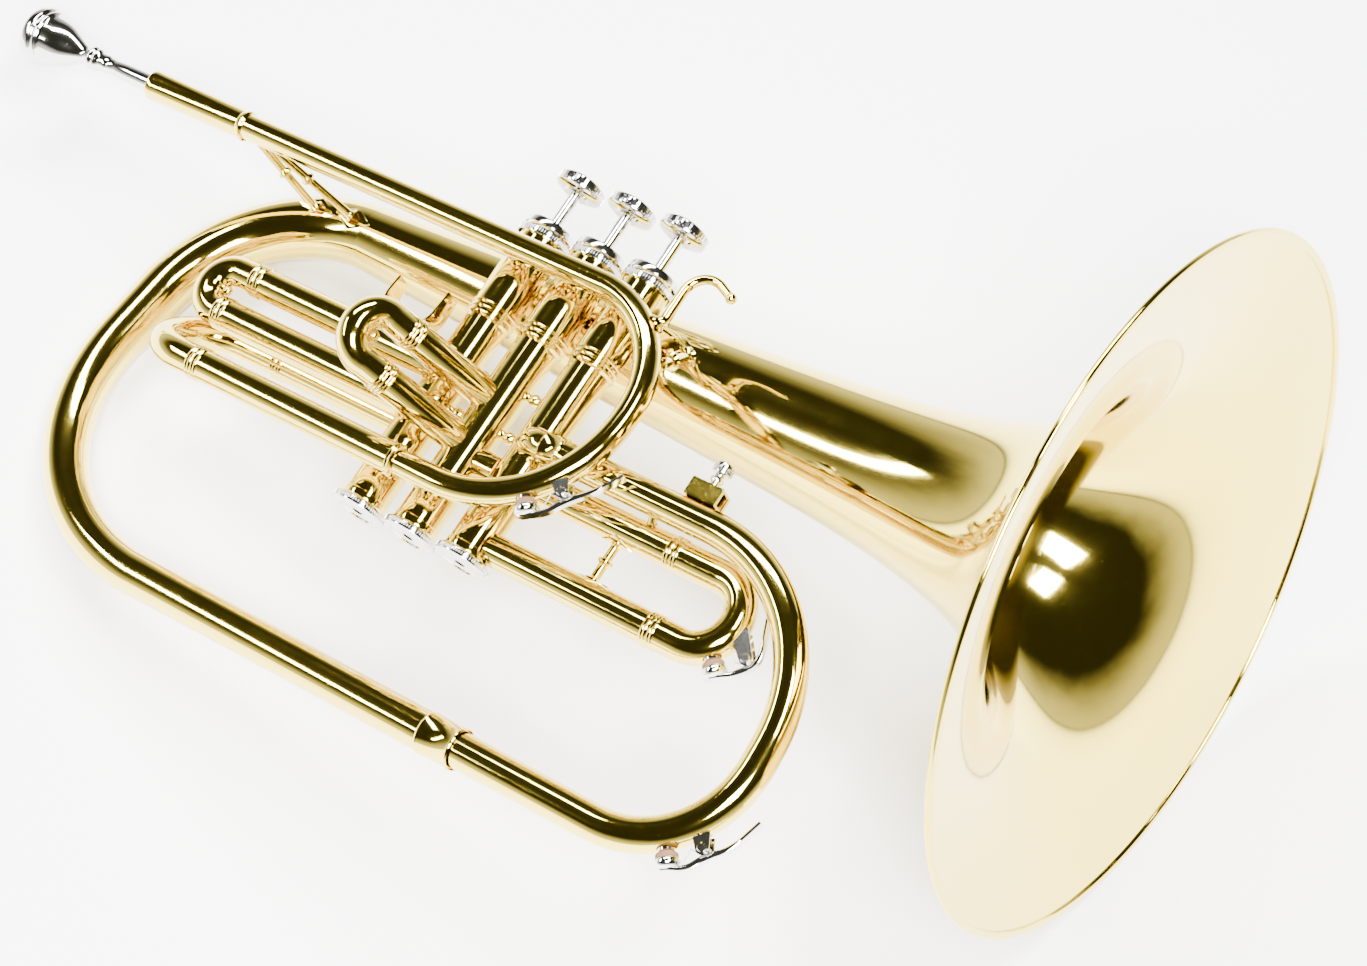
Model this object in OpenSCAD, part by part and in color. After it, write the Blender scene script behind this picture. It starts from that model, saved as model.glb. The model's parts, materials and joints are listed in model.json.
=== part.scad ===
// Marching mellophone in F: a forward-facing three-valve bell-front brass horn.
// Every piece is drawn in the horn's own frame, then laid down as the horn rests on a table.
// Horn frame: +X along the bell towards its mouth, +Z along the valves towards the finger
// buttons, +Y towards the player's left. The first valve's axis is the Z axis.

/* [Bell] */
// Diameter over the bell's rolled rim
bell_d = 280; // [240:1:300]
// Distance from the first valve to the mouth of the bell
bell_reach = 281; // [262:1:320]
// Sideways distance from the valves to the bell's axis
bell_side = 33; // [32.5:0.5:40]
// Height of the bell's axis above the middle of the casings
bell_height = 54; // [48:1:60]
// Diameter of the round wire in the rim
rim_wire_d = 3.2; // [2.6:0.1:4]
// Thickness of the bell's sheet metal
bell_wall = 0.6; // [0.5:0.05:0.9]

/* [Tubing] */
// Outer diameter of the fixed slide sleeves
sleeve_d = 13.2; // [12.2:0.1:13.6]
// Wall of every tube
tube_wall = 0.5; // [0.4:0.05:0.7]
// Outer diameter of the leadpipe
leadpipe_d = 10.8; // [10:0.1:12]
// Radial gap between a slide's inner leg and its sleeve
slide_gap = 0.05; // [0.03:0.01:0.1]
// Outer diameter of the big loop where it leaves the third valve
loop_start_d = 12.4; // [12:0.1:13]
// Outer diameter of the big loop at its lower joint
loop_end_d = 14.6; // [13.6:0.1:15.6]

/* [Valves] */
// Distance between neighbouring valves
valve_pitch = 26; // [25.4:0.1:30]
// Outer diameter of the lower part of a casing
casing_d = 18.3; // [17.9:0.1:18.6]
// Outer diameter of the upper part of a casing
balustrade_d = 20; // [19:0.1:20.4]
// Diameter of a piston
piston_d = 16.6; // [15.6:0.1:16.8]
// Radial gap between a piston and its casing
piston_gap = 0.05; // [0.02:0.01:0.09]
// How far a piston travels
stroke = 15; // [12:0.5:15.5]
// Diameter of a cap over its knurling
cap_d = 23.3; // [22.6:0.1:24.4]
// Diameter of a finger button
button_d = 21; // [16:0.5:24]
// Diameter of a valve stem
stem_d = 5.2; // [4:0.1:6]

/* [Mouthpipe] */
// Distance from the first valve to the open end of the receiver
receiver_reach = 190; // [180:1:220]
// Sideways distance from the valves to the leadpipe
leadpipe_side = 23; // [22.5:0.5:28]
// Height of the straight part of the leadpipe
leadpipe_height = 57; // [50:1:60]
// Diameter over the mouthpiece's rim
mouthpiece_d = 25.5; // [22:0.5:28]
// Radial gap between the mouthpiece's shank and the receiver
shank_gap = 0.03; // [0.02:0.01:0.08]

/* [Resting on the table] */
// Angle that the bell's axis rises above the table
lie_pitch = 16.1; // [0:0.1:30]
// Angle that the horn rolls about the bell's axis
lie_roll = 11.8; // [-20:0.1:20]

/* [Hidden] */

$fn = 64;
over = 0.5;            // how far a cut runs past a face
air = 0.05;            // gap between soldered or screwed pieces that only touch

// Colours
lacquer = [0.86, 0.68, 0.30];
nickel = [0.80, 0.80, 0.82];
cork_tan = [0.45, 0.22, 0.12];
felt_white = [0.90, 0.88, 0.82];

// Radii that follow from the diameters above
sleeve_r = sleeve_d / 2;
sleeve_in = sleeve_r - tube_wall;
leg_r = sleeve_in - slide_gap;
leg_in = leg_r - tube_wall;
lead_r = leadpipe_d / 2;
lead_in = lead_r - tube_wall;
casing_r = casing_d / 2;
casing_in = piston_d / 2 + piston_gap;
balustrade_r = balustrade_d / 2;
piston_r = piston_d / 2;
stem_r = stem_d / 2;
cap_r = cap_d / 2;

// Heights along a valve
casing_bottom = -57.2;
ring_height = 34;      // where the casing steps up to the balustrade
casing_top = 76;
bottom_cap_h = 4;
bottom_plug_h = 2.6;
top_cap_skirt = 6;
top_cap_plate = 2.8;
cap_top = casing_top + air + top_cap_plate;
piston_bottom = casing_bottom + bottom_plug_h + stroke + 0.6;
piston_shoulder = 28;  // top of the piston's solid part at rest
barrel_top = 72.4;
barrel_plate = 4;
felt_h = 3.4;
guide_h = 2;
guide_height = piston_shoulder + 3;
slot_w = 4;
guide_w = 3.6;
guide_lift = barrel_top - barrel_plate - guide_height - guide_h;
button_gap = 0.5;      // air left under a button at the end of its stroke
button_bottom = cap_top + stroke + button_gap;
button_h = 7.4;

// Mouthpipe and main tuning slide
lead_bend_top = 43;    // radii of the leadpipe's two quarter bends
lead_bend_low = 55;
lead_drop = 1;
lead_front = 48;       // where the first quarter bend begins
lead_low = leadpipe_height - lead_bend_top - lead_drop - lead_bend_low;
lead_joint = 16;       // the leadpipe ends in the tuning sleeve here
lead_plug = 6;         // length of leadpipe inside the tuning sleeve
receiver_l = 54;
receiver_hold = 22;    // length of the receiver over the leadpipe
tuning_end = -85.4;    // sleeve ends of the main tuning slide
tuning_bow_x = -96;
return_side = 8;
return_height = -18.5;
return_end = -74.3;
tuning_pull = 30;

// Valve slides: heights and sides of their legs
first_side = -11;
first_up = 2.8;
first_low = -15.8;
first_end_up = -93;
first_end_low = -99;
first_bow_x = -104;
first_stub = 5;
second_angle = 55;
second_up = 2.0;
second_low = -18.6;
second_end = 46;       // distance of the sleeve ends from the second valve
second_bow = 56;
third_up = -20.3;
third_low = -50.5;
third_end_up = 129.5;
third_end_low = 139;
third_bow_x = 150.5;
knuckle_x = 5;         // how far behind the valve's axis the side knuckles sit

// The big loop, from the third valve to the bell's tail
loop_side = leadpipe_side - leadpipe_d / 2 - loop_start_d / 2 - 0.2;
loop_height = -8.2;
loop_low = -124;
loop_front = 206;
loop_bend_top = 65;
loop_bend_low = 45;
loop_joint = 98;
elbow_bend = 8;
elbow_end = 2 * valve_pitch + 10;
loop_ferrule_l = 16;
tail_start_d = 16.2;
tail_left = -158;
tail_bend_low = 89;
tail_bend_up = 66;
sweep_sides = 24;

// Bell: a straight cone and two curves that open it towards the rim
bell_cone_r = 33.5;
bell_cone_slope = 0.052;
bell_flare_r = 65;
bell_flare_l = 35.6;
bell_lip_l = 9.7;
bell_start = tail_left + tail_bend_up;
bell_edge_r = bell_d / 2 - rim_wire_d - 0.1;
rim_flat = 0.5;        // depth of the flat worn on the front of the rim

// Water keys: nipple, pivot and lever
nipple_r = 2.6;
nipple_h = 2.5;
cork_r = 3.9;
cork_h = 2.2;
cup_r = 4.5;
cup_h = 3;
key_pin_r = 1;
key_pin_gap = 0.06;
key_barrel_r = 2.2;
key_barrel_w = 3;
key_ear_gap = 2.5;
key_ear_t = 1.1;
key_lever_t = 1.3;
key_lever_w = 4.4;
// Tip of each finger end, measured from its pivot
key_tips = [[24, -1.9], [11, -14.3], [21.5, -7.1]];

// Third key sits on the slide bow, so it moves with the third slide
key_places = [
  // side, bend centre X and Z, radius of the tube's outside, nipple angle, pivot offset, stand
  [-leadpipe_side, lead_front - (lead_bend_low - lead_bend_top), lead_low + lead_bend_low,
   lead_bend_low + lead_r, -50, 15, 4.2],
  [0, third_bow_x, (third_up + third_low) / 2, (third_up - third_low) / 2 + sleeve_r, -45, 12.7, 9],
  [-0.9, loop_front - loop_bend_low, loop_low + loop_bend_low,
   loop_bend_low + loop_end_d / 2, -53, 14, 4.2]
];

// ---------------------------------------------------------------- laying the horn down
// Turns the horn from its playing frame onto its left side with the bell raised
module lie_down() {
  translate([table_x, table_y, table_z])
    rotate([0, -lie_pitch, 0])
      rotate([lie_roll - 90, 0, 0])
        children();
}

// The same turn as numbers, for one point of the horn frame
function turned(p) =
  let (roll = lie_roll - 90,
       y = p[1] * cos(roll) - p[2] * sin(roll),
       z = p[1] * sin(roll) + p[2] * cos(roll))
  [p[0] * cos(lie_pitch) - z * sin(lie_pitch), y, p[0] * sin(lie_pitch) + z * cos(lie_pitch)];

bell_axis_turned = turned([1, 0, 0]);
rim_centre = turned([bell_reach, bell_side, bell_height]);
rim_wire_r = rim_wire_d / 2;
rim_ring_r = bell_d / 2 - rim_wire_r;
// Half the size of a ring seen along one axis of the table's frame
function ring_half(axis_part, r, wire) = r * sqrt(1 - axis_part * axis_part) + wire;
mouth_rim_x = -receiver_reach - 68.5;
mouth_rim_centre = turned([mouth_rim_x, -leadpipe_side, leadpipe_height]);
low_tube = turned([loop_joint - loop_ferrule_l / 2, 0, loop_low]);
table_z = -(rim_centre[2] - ring_half(bell_axis_turned[2], rim_ring_r, rim_wire_r));
table_x = -(rim_centre[0] + ring_half(bell_axis_turned[0], rim_ring_r, rim_wire_r)
            + mouth_rim_centre[0] - ring_half(bell_axis_turned[0], mouthpiece_d / 2, 0)) / 2;
table_y = -(rim_centre[1] + ring_half(bell_axis_turned[1], rim_ring_r, rim_wire_r)
            + low_tube[1] - tail_start_d / 2 - 0.9) / 2;

// ---------------------------------------------------------------- shared shapes
function unit(v) = v / norm(v);

module ring(outer, inner) {
  difference() {
    circle(r = outer);
    circle(r = inner);
  }
}

// A tube along +Z
module pipe(length, outer, inner) {
  linear_extrude(height = length) ring(outer, inner);
}

// A tube that starts at the origin along +Z and follows a list of steps:
// [straight length, bend radius, bend angle, roll of the bend]
module follow(steps, outer, inner, i = 0) {
  if (i < len(steps)) {
    length = steps[i][0];
    bend = steps[i][1];
    turn = steps[i][2];
    if (length > 0) pipe(length, outer, inner);
    translate([0, 0, length]) rotate([0, 0, steps[i][3]]) {
      if (turn > 0)
        translate([bend, 0, 0]) rotate([90, 0, 180]) rotate_extrude(angle = turn)
          translate([bend, 0]) ring(outer, inner);
      translate([bend * (1 - cos(turn)), 0, bend * sin(turn)]) rotate([0, turn, 0])
        follow(steps, outer, inner, i + 1);
    }
  }
}

// Headings: +Z of a child turned along the horn
module forward() { rotate([0, 90, 0]) children(); }
module backward() { rotate([0, -90, 0]) children(); }
module to_right() { rotate([90, 0, 0]) children(); }
module to_left() { rotate([-90, 0, 0]) children(); }

// A solid round bar from one point to another
module bar(from, to, r) {
  way = to - from;
  translate(from)
    rotate([0, acos(way[2] / norm(way)), atan2(way[1], way[0])])
      cylinder(r = r, h = norm(way));
}

// A tube swept through rings of changing radius: one closed skin, outside and bore
module swept_tube(centres, ways, radii, wall, side) {
  n = len(centres);
  k = sweep_sides;
  outer = [for (i = [0 : n - 1]) for (j = [0 : k - 1])
    centres[i] + (radii[i]) * (cos(360 * j / k) * side + sin(360 * j / k) * cross(ways[i], side))];
  inner = [for (i = [0 : n - 1]) for (j = [0 : k - 1])
    centres[i] + (radii[i] - wall) * (cos(360 * j / k) * side + sin(360 * j / k) * cross(ways[i], side))];
  m = n * k;
  skin = [for (i = [0 : n - 2]) for (j = [0 : k - 1])
    [i * k + j, i * k + (j + 1) % k, (i + 1) * k + (j + 1) % k, (i + 1) * k + j]];
  bore = [for (f = skin) [f[3] + m, f[2] + m, f[1] + m, f[0] + m]];
  first_end = [for (j = [0 : k - 1]) [j, j + m, (j + 1) % k + m, (j + 1) % k]];
  last = (n - 1) * k;
  last_end = [for (j = [0 : k - 1])
    [last + (j + 1) % k, last + (j + 1) % k + m, last + j + m, last + j]];
  polyhedron(concat(outer, inner), concat(skin, bore, first_end, last_end), convexity = 10);
}

// ---------------------------------------------------------------- mouthpiece and mouthpipe
shank_tip = 27;
shank_mouth_r = 3.9;
shank_tip_r = 3.45;
mouthpiece_l = -mouth_rim_x - receiver_reach;

module mouthpiece() {
  color(nickel) translate([-receiver_reach, -leadpipe_side, leadpipe_height]) forward()
    rotate_extrude() difference() {
      polygon([
        [0, shank_tip], [0, -mouthpiece_l + 16], [mouthpiece_d / 2 - 4.5, -mouthpiece_l],
        [mouthpiece_d / 2 - 2.2, -mouthpiece_l - 0.01], [mouthpiece_d / 2 - 0.7, -mouthpiece_l + 0.8],
        [mouthpiece_d / 2, -mouthpiece_l + 2.2], [mouthpiece_d / 2, -mouthpiece_l + 4.6],
        [mouthpiece_d / 2 - 1, -mouthpiece_l + 6], [mouthpiece_d / 2 - 1.6, -mouthpiece_l + 9],
        [mouthpiece_d / 2 - 2.2, -mouthpiece_l + 14], [mouthpiece_d / 2 - 4, -mouthpiece_l + 19],
        [mouthpiece_d / 2 - 6.6, -mouthpiece_l + 23], [4.3, -mouthpiece_l + 27],
        [3.6, -mouthpiece_l + 31], [5, -mouthpiece_l + 33], [5, -mouthpiece_l + 35.5],
        [3.9, -mouthpiece_l + 37], [3.9, -mouthpiece_l + 42], [3.5, -mouthpiece_l + 43],
        [3.5, -mouthpiece_l + 47], [3.7, -mouthpiece_l + 48],
        [shank_mouth_r, 0], [shank_tip_r, shank_tip]
      ]);
      polygon([
        [-1, -mouthpiece_l - 1], [mouthpiece_d / 2 - 3.6, -mouthpiece_l - 1],
        [mouthpiece_d / 2 - 4, -mouthpiece_l + 3], [mouthpiece_d / 2 - 5.4, -mouthpiece_l + 9],
        [4.2, -mouthpiece_l + 16], [1.9, -mouthpiece_l + 21], [1.9, -mouthpiece_l + 26],
        [2.6, shank_tip + 1], [-1, shank_tip + 1]
      ]);
    }
}

module mouthpiece_receiver() {
  hold = receiver_l - receiver_hold;
  color(lacquer) translate([-receiver_reach, -leadpipe_side, leadpipe_height]) forward()
    rotate_extrude() polygon([
      [shank_mouth_r + shank_gap, 0], [6.1, 0], [6.3, 0.4], [6.3, 3], [lead_r + 0.5, receiver_l - 3],
      [lead_r + 1, receiver_l - 2.4], [lead_r + 1, receiver_l - 0.8], [lead_r + 0.4, receiver_l],
      [lead_r, receiver_l], [lead_r, hold], [lead_in, hold],
      [shank_tip_r + shank_gap, shank_tip]
    ]);
}

module leadpipe() {
  start = -receiver_reach + receiver_l - receiver_hold;
  run = lead_front - start;
  back = lead_front - (lead_bend_low - lead_bend_top) - lead_joint + lead_plug;
  color(lacquer) translate([start, -leadpipe_side, leadpipe_height]) forward()
    follow([[run, lead_bend_top, 90, 0], [lead_drop, lead_bend_low, 90, 0], [back, 1, 0, 0]],
           lead_r, lead_in);
}

// Plain soldered rings where tubes meet
module tube_ferrules() {
  color(lacquer) {
    translate([lead_joint, -leadpipe_side, lead_low]) forward() {
      pipe(3, sleeve_r + 0.6, lead_r);
    }
    translate([elbow_end, -loop_side, loop_height]) forward()
      pipe(9, loop_start_d / 2 + 0.6, loop_start_d / 2 + 0.02);
    translate([loop_joint - loop_ferrule_l, 0, loop_low]) forward() {
      pipe(loop_ferrule_l, tail_start_d / 2 + 0.45, tail_start_d / 2 + 0.02);
      translate([0, 0, loop_ferrule_l - 3]) pipe(3, tail_start_d / 2 + 0.9, tail_start_d / 2 + 0.02);
    }
  }
}

// ---------------------------------------------------------------- main tuning slide
module tuning_sleeves() {
  color(lacquer) {
    translate([lead_joint, -leadpipe_side, lead_low]) backward() {
      pipe(lead_plug, sleeve_r, lead_r);
      translate([0, 0, lead_plug]) pipe(lead_joint - tuning_end - lead_plug, sleeve_r, sleeve_in);
      translate([0, 0, lead_joint - tuning_end - 2.4])
        pipe(2.4, sleeve_r + 0.5, sleeve_in);
    }
    translate([return_end, return_side, return_height]) forward()
      pipe(2.4, sleeve_r + 0.5, sleeve_in);
    difference() {
      translate([return_end, return_side, return_height]) forward() union() {
        cylinder(r = sleeve_r, h = -return_end - knuckle_x);
        translate([0, 0, -return_end - knuckle_x]) sphere(r = sleeve_r);
      }
      translate([return_end, return_side, return_height]) forward() union() {
        translate([0, 0, -over]) cylinder(r = sleeve_in, h = -return_end - knuckle_x + over);
        translate([0, 0, -return_end - knuckle_x]) sphere(r = sleeve_in);
      }
      translate([0, 0, return_height - 20]) cylinder(r = casing_r, h = 40);
    }
  }
}

tuning_rise = return_height - lead_low;
tuning_cross = return_side + leadpipe_side;
tuning_roll = atan2(tuning_cross, tuning_rise);
tuning_r = norm([tuning_rise, tuning_cross]) / 2;

module tuning_bow() {
  color(lacquer)
    translate([tuning_end - air, -leadpipe_side, lead_low]) backward()
      rotate([0, 0, tuning_roll])
        follow([[tuning_end - air - tuning_bow_x, tuning_r, 180, 0],
                [return_end - air - tuning_bow_x, 1, 0, 0]],
               sleeve_r, leg_r);
}

module tuning_legs() {
  color(nickel) {
    translate([tuning_bow_x + 0.2, -leadpipe_side, lead_low]) forward()
      pipe(-tuning_bow_x - 1, leg_r - air / 2, leg_in);
    translate([tuning_bow_x + 0.2, return_side, return_height]) forward()
      pipe(-tuning_bow_x - 18, leg_r - air / 2, leg_in);
  }
}

// ---------------------------------------------------------------- valve block
module casing(i) {
  x = (i - 1) * valve_pitch;
  color(lacquer) difference() {
    union() {
      translate([x, 0, casing_bottom]) cylinder(r = casing_r, h = ring_height - casing_bottom);
      translate([x, 0, ring_height]) cylinder(r = balustrade_r, h = casing_top - ring_height);
      for (z = [-3.6, -1.2, 1.2])
        translate([x, 0, ring_height + z]) cylinder(r = balustrade_r + 0.4, h = 1.2);
    }
    translate([x, 0, casing_bottom - over])
      cylinder(r = casing_in, h = casing_top - casing_bottom + 2 * over);
    if (i == 1) {
      for (z = [first_up, first_low])
        translate([0, first_side, z]) backward() cylinder(r = leg_in, h = 20);
      translate([0, return_side - 3, return_height]) backward() cylinder(r = 4, h = 20);
      translate([x, 0, bridge_low]) forward() cylinder(r = bridge_in, h = 20);
    }
    if (i == 2) {
      for (z = [second_up, second_low])
        translate([x, 0, z]) rotate([0, 0, second_angle]) backward() cylinder(r = leg_in, h = 20);
      translate([x, 0, bridge_low]) backward() cylinder(r = bridge_in, h = 20);
      translate([x, 0, bridge_mid]) forward() cylinder(r = bridge_in, h = 20);
    }
    if (i == 3) {
      for (z = [third_up, third_low])
        translate([x, 0, z]) forward() cylinder(r = leg_in, h = 20);
      translate([x, 0, loop_height]) to_right() cylinder(r = loop_start_d / 2 - tube_wall, h = 20);
      translate([x, 0, bridge_mid]) backward() cylinder(r = bridge_in, h = 20);
    }
  }
}

// Short tubes and ball stays between neighbouring casings
bridge_r = 5.9;
bridge_in = 5.4;
bridge_low = -36;
bridge_mid = -22;
stay_r = 1.5;
stay_heights = [10, -8];

module casing_bridges() {
  middle = valve_pitch / 2;
  color(lacquer) {
    difference() {
      union() {
        translate([0, 0, bridge_low]) forward() pipe(valve_pitch, bridge_r, bridge_in);
        translate([valve_pitch, 0, bridge_mid]) forward() pipe(valve_pitch, bridge_r, bridge_in);
      }
      for (x = [0, valve_pitch, 2 * valve_pitch])
        translate([x, 0, casing_bottom]) cylinder(r = casing_r, h = 90);
    }
    for (x = [0, valve_pitch]) for (z = stay_heights)
      translate([x, 0, z]) forward() rotate_extrude() polygon([
        [0, casing_r + air], [stay_r, casing_r + air], [stay_r, middle - 2.2],
        [2.4, middle - 1.2], [2.7, middle], [2.4, middle + 1.2], [stay_r, middle + 2.2],
        [stay_r, valve_pitch - casing_r - air], [0, valve_pitch - casing_r - air]
      ]);
  }
}

module valve_guides() {
  wing = casing_in - 0.02;
  color(nickel) for (x = [0, valve_pitch, 2 * valve_pitch])
    translate([x, 0, guide_height]) intersection() {
      cylinder(r = wing, h = guide_h);
      union() {
        cylinder(r = barrel_in - 0.3, h = guide_h);
        translate([-guide_w / 2, -wing, 0]) cube([guide_w, 2 * wing, guide_h]);
      }
    }
}

module top_caps() {
  color(nickel) for (x = [0, valve_pitch, 2 * valve_pitch])
    translate([x, 0, casing_top - top_cap_skirt]) difference() {
      union() {
        cylinder(r = cap_r, h = 3);
        translate([0, 0, 3]) cylinder(r = cap_r - 0.9, h = 1.2);
        translate([0, 0, 4.2]) cylinder(r = cap_r - 0.2, h = top_cap_skirt + air + top_cap_plate - 4.2);
      }
      translate([0, 0, -over]) cylinder(r = balustrade_r + air, h = top_cap_skirt + air + over);
      cylinder(r = stem_r + 0.08, h = 20);
    }
}

module bottom_caps() {
  color(nickel) for (x = [0, valve_pitch, 2 * valve_pitch])
    translate([x, 0, casing_bottom - air]) difference() {
      union() {
        translate([0, 0, -bottom_cap_h]) cylinder(r = cap_r - 0.5, h = bottom_cap_h);
        translate([0, 0, 0.8 - bottom_cap_h]) cylinder(r = cap_r, h = 2);
        cylinder(r = casing_in - 0.05, h = bottom_plug_h);
      }
      translate([0, 0, -bottom_cap_h - over]) cylinder(r = 2.2, h = 20);
      translate([0, 0, 1.2 - bottom_cap_h]) cylinder(r = casing_in - 1.6, h = 20);
      translate([0, 0, -bottom_cap_h - over]) cylinder(r = cap_r - 3, h = over + 0.6);
    }
}

barrel_in = piston_r - 1;

module piston(i) {
  color(nickel) translate([(i - 1) * valve_pitch, 0, 0]) difference() {
    translate([0, 0, piston_bottom]) cylinder(r = piston_r, h = barrel_top - piston_bottom);
    translate([0, 0, piston_shoulder])
      cylinder(r = barrel_in, h = barrel_top - barrel_plate - piston_shoulder);
    translate([-slot_w / 2, -20, piston_shoulder + 1])
      cube([slot_w, 40, barrel_top - barrel_plate - piston_shoulder - 2]);
    translate([0, 0, barrel_top - barrel_plate - over])
      cylinder(r = stem_r - 0.6, h = barrel_plate + 2 * over);
    translate([0, 0, piston_bottom - over]) cylinder(r = piston_r - 1.2, h = 9 + over);
    translate([-20, 0, piston_bottom + 26]) forward() cylinder(r = bridge_in, h = 40);
    translate([0, 20, piston_bottom + 44]) to_right() cylinder(r = bridge_in, h = 40);
  }
}

module valve_stem(i) {
  color(nickel) translate([(i - 1) * valve_pitch, 0, 0]) {
    translate([0, 0, barrel_top - barrel_plate]) cylinder(r = stem_r - 0.6, h = barrel_plate);
    translate([0, 0, barrel_top]) cylinder(r = stem_r, h = button_bottom - barrel_top);
    translate([0, 0, button_bottom]) cylinder(r = stem_r - 0.8, h = 3);
  }
}

module finger_button(i) {
  r = button_d / 2;
  color(nickel) translate([(i - 1) * valve_pitch, 0, button_bottom]) rotate_extrude()
    polygon([
      [stem_r - 0.8, 0], [5, 0], [5.8, 1], [r - 2, 1.4], [r - 0.4, 2], [r, 2.7], [r, 3.7],
      [r - 0.5, 4], [r - 0.5, 4.5], [r, 4.8], [r, 5.7], [r - 0.4, 6.4], [r - 1.6, 7],
      [r - 2.9, button_h], [r - 3.6, 6.9], [0, 6.5], [0, 3], [stem_r - 0.8, 3]
    ]);
}

module valve_felt(i) {
  color(felt_white) translate([(i - 1) * valve_pitch, 0, barrel_top])
    pipe(felt_h, casing_in - 0.8, stem_r);
}

spring_turns = 8;
spring_wire = 0.45;
spring_r = 5.4;

module valve_spring(i) {
  sides = 6;
  per_turn = 12;
  low = guide_height + guide_h + spring_wire + 0.1;
  high = barrel_top - barrel_plate - spring_wire - 0.1;
  n = spring_turns * per_turn;
  points = [for (k = [0 : n]) for (j = [0 : sides - 1])
    let (a = 360 * k / per_turn, b = 360 * j / sides, r = spring_r + spring_wire * cos(b))
    [r * cos(a), r * sin(a), low + (high - low) * k / n + spring_wire * sin(b)]];
  walls = [for (k = [0 : n - 1]) for (j = [0 : sides - 1])
    [k * sides + j, (k + 1) * sides + j, (k + 1) * sides + (j + 1) % sides,
     k * sides + (j + 1) % sides]];
  color(nickel) translate([(i - 1) * valve_pitch, 0, 0])
    polyhedron(points, concat(walls, [[for (j = [0 : sides - 1]) j]],
      [[for (j = [sides - 1 : -1 : 0]) n * sides + j]]), convexity = 20);
}

// ---------------------------------------------------------------- first valve slide
first_r = (first_up - first_low) / 2;

module first_slide_sleeves() {
  color(lacquer) for (leg = [[first_up, first_end_up], [first_low, first_end_low]])
    difference() {
      union() {
        translate([-knuckle_x, first_side, leg[0]]) backward()
          pipe(-leg[1] - knuckle_x, sleeve_r, sleeve_in);
        translate([leg[1], first_side, leg[0]]) forward() pipe(2.2, sleeve_r + 0.5, sleeve_in);
        translate([-knuckle_x, first_side, leg[0]]) sphere(r = sleeve_r);
      }
      translate([-knuckle_x, first_side, leg[0]]) sphere(r = sleeve_in);
      translate([-knuckle_x - over, first_side, leg[0]]) backward() cylinder(r = sleeve_in, h = 2);
      translate([0, 0, casing_bottom]) cylinder(r = casing_r, h = 80);
    }
}

module first_slide_bow() {
  color(lacquer) {
    translate([first_end_low - air, first_side, first_low]) backward()
      follow([[first_end_low - air - first_bow_x, first_r, 180, 0],
              [first_end_up - air - first_bow_x, 1, 0, 0]], sleeve_r, leg_r);
    translate([first_bow_x, first_side, (first_up + first_low) / 2]) backward() {
      translate([0, 0, first_r - sleeve_r - 1.2]) cylinder(r = 1.1, h = 1.5);
      translate([0, 0, first_r - sleeve_r - 2.6]) sphere(r = 2.1);
    }
  }
}

module first_slide_legs() {
  color(nickel) for (z = [first_up, first_low])
    translate([first_bow_x + 0.2, first_side, z]) forward()
      pipe(-first_bow_x - knuckle_x - 10, leg_r - air / 2, leg_in);
}

// ---------------------------------------------------------------- second valve slide
second_r = (second_up - second_low) / 2;

module from_second_valve(z) {
  translate([valve_pitch, 0, z]) rotate([0, 0, second_angle]) backward() children();
}

module second_slide_sleeves() {
  color(lacquer) difference() {
    for (z = [second_up, second_low]) from_second_valve(z) {
      pipe(second_end, sleeve_r, sleeve_in);
      translate([0, 0, second_end - 2.2]) pipe(2.2, sleeve_r + 0.5, sleeve_in);
    }
    translate([valve_pitch, 0, casing_bottom]) cylinder(r = casing_r, h = 80);
  }
}

module second_slide_bow() {
  color(lacquer) {
    from_second_valve(second_low)
      translate([0, 0, second_end + air])
        follow([[second_bow - second_end - air, second_r, 180, 0],
                [second_bow - second_end - air, 1, 0, 0]], sleeve_r, leg_r);
    from_second_valve((second_up + second_low) / 2) {
      translate([0, 0, second_bow + second_r - sleeve_r - 1.2]) cylinder(r = 1.1, h = 1.5);
      translate([0, 0, second_bow + second_r - sleeve_r - 2.6]) sphere(r = 2.3);
    }
  }
}

module second_slide_legs() {
  color(nickel) for (z = [second_up, second_low])
    from_second_valve(z) translate([0, 0, casing_r + 4])
      pipe(second_bow - casing_r - 4.2, leg_r - air / 2, leg_in);
}

// ---------------------------------------------------------------- third valve slide
third_r = (third_up - third_low) / 2;
third_x = 2 * valve_pitch;

module third_slide_sleeves() {
  color(lacquer) difference() {
    for (leg = [[third_up, third_end_up], [third_low, third_end_low]])
      translate([third_x, 0, leg[0]]) forward() {
        pipe(leg[1] - third_x, sleeve_r, sleeve_in);
        translate([0, 0, leg[1] - third_x - 2.2]) pipe(2.2, sleeve_r + 0.5, sleeve_in);
      }
    translate([third_x, 0, casing_bottom]) cylinder(r = casing_r, h = 80);
  }
}

module third_slide_bow() {
  color(lacquer) {
    translate([third_end_up + air, 0, third_up]) forward()
      follow([[third_bow_x - third_end_up - air, third_r, 180, 0],
              [third_bow_x - third_end_low - air, 1, 0, 0]], sleeve_r, leg_r);
  }
}

module third_slide_legs() {
  color(nickel) for (z = [third_up, third_low])
    translate([third_x + casing_r + 8, 0, z]) forward()
      pipe(third_bow_x - third_x - casing_r - 8.2, leg_r - air / 2, leg_in);
}

// ---------------------------------------------------------------- big loop and bell
module loop_elbow() {
  color(lacquer) difference() {
    translate([third_x, 0, loop_height]) to_right()
      follow([[loop_side - elbow_bend, elbow_bend, 90, 0],
              [elbow_end + 4.4 - third_x - elbow_bend, 1, 0, 0]],
             loop_start_d / 2, loop_start_d / 2 - tube_wall);
    translate([third_x, 0, casing_bottom]) cylinder(r = casing_r, h = 80);
  }
}

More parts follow.
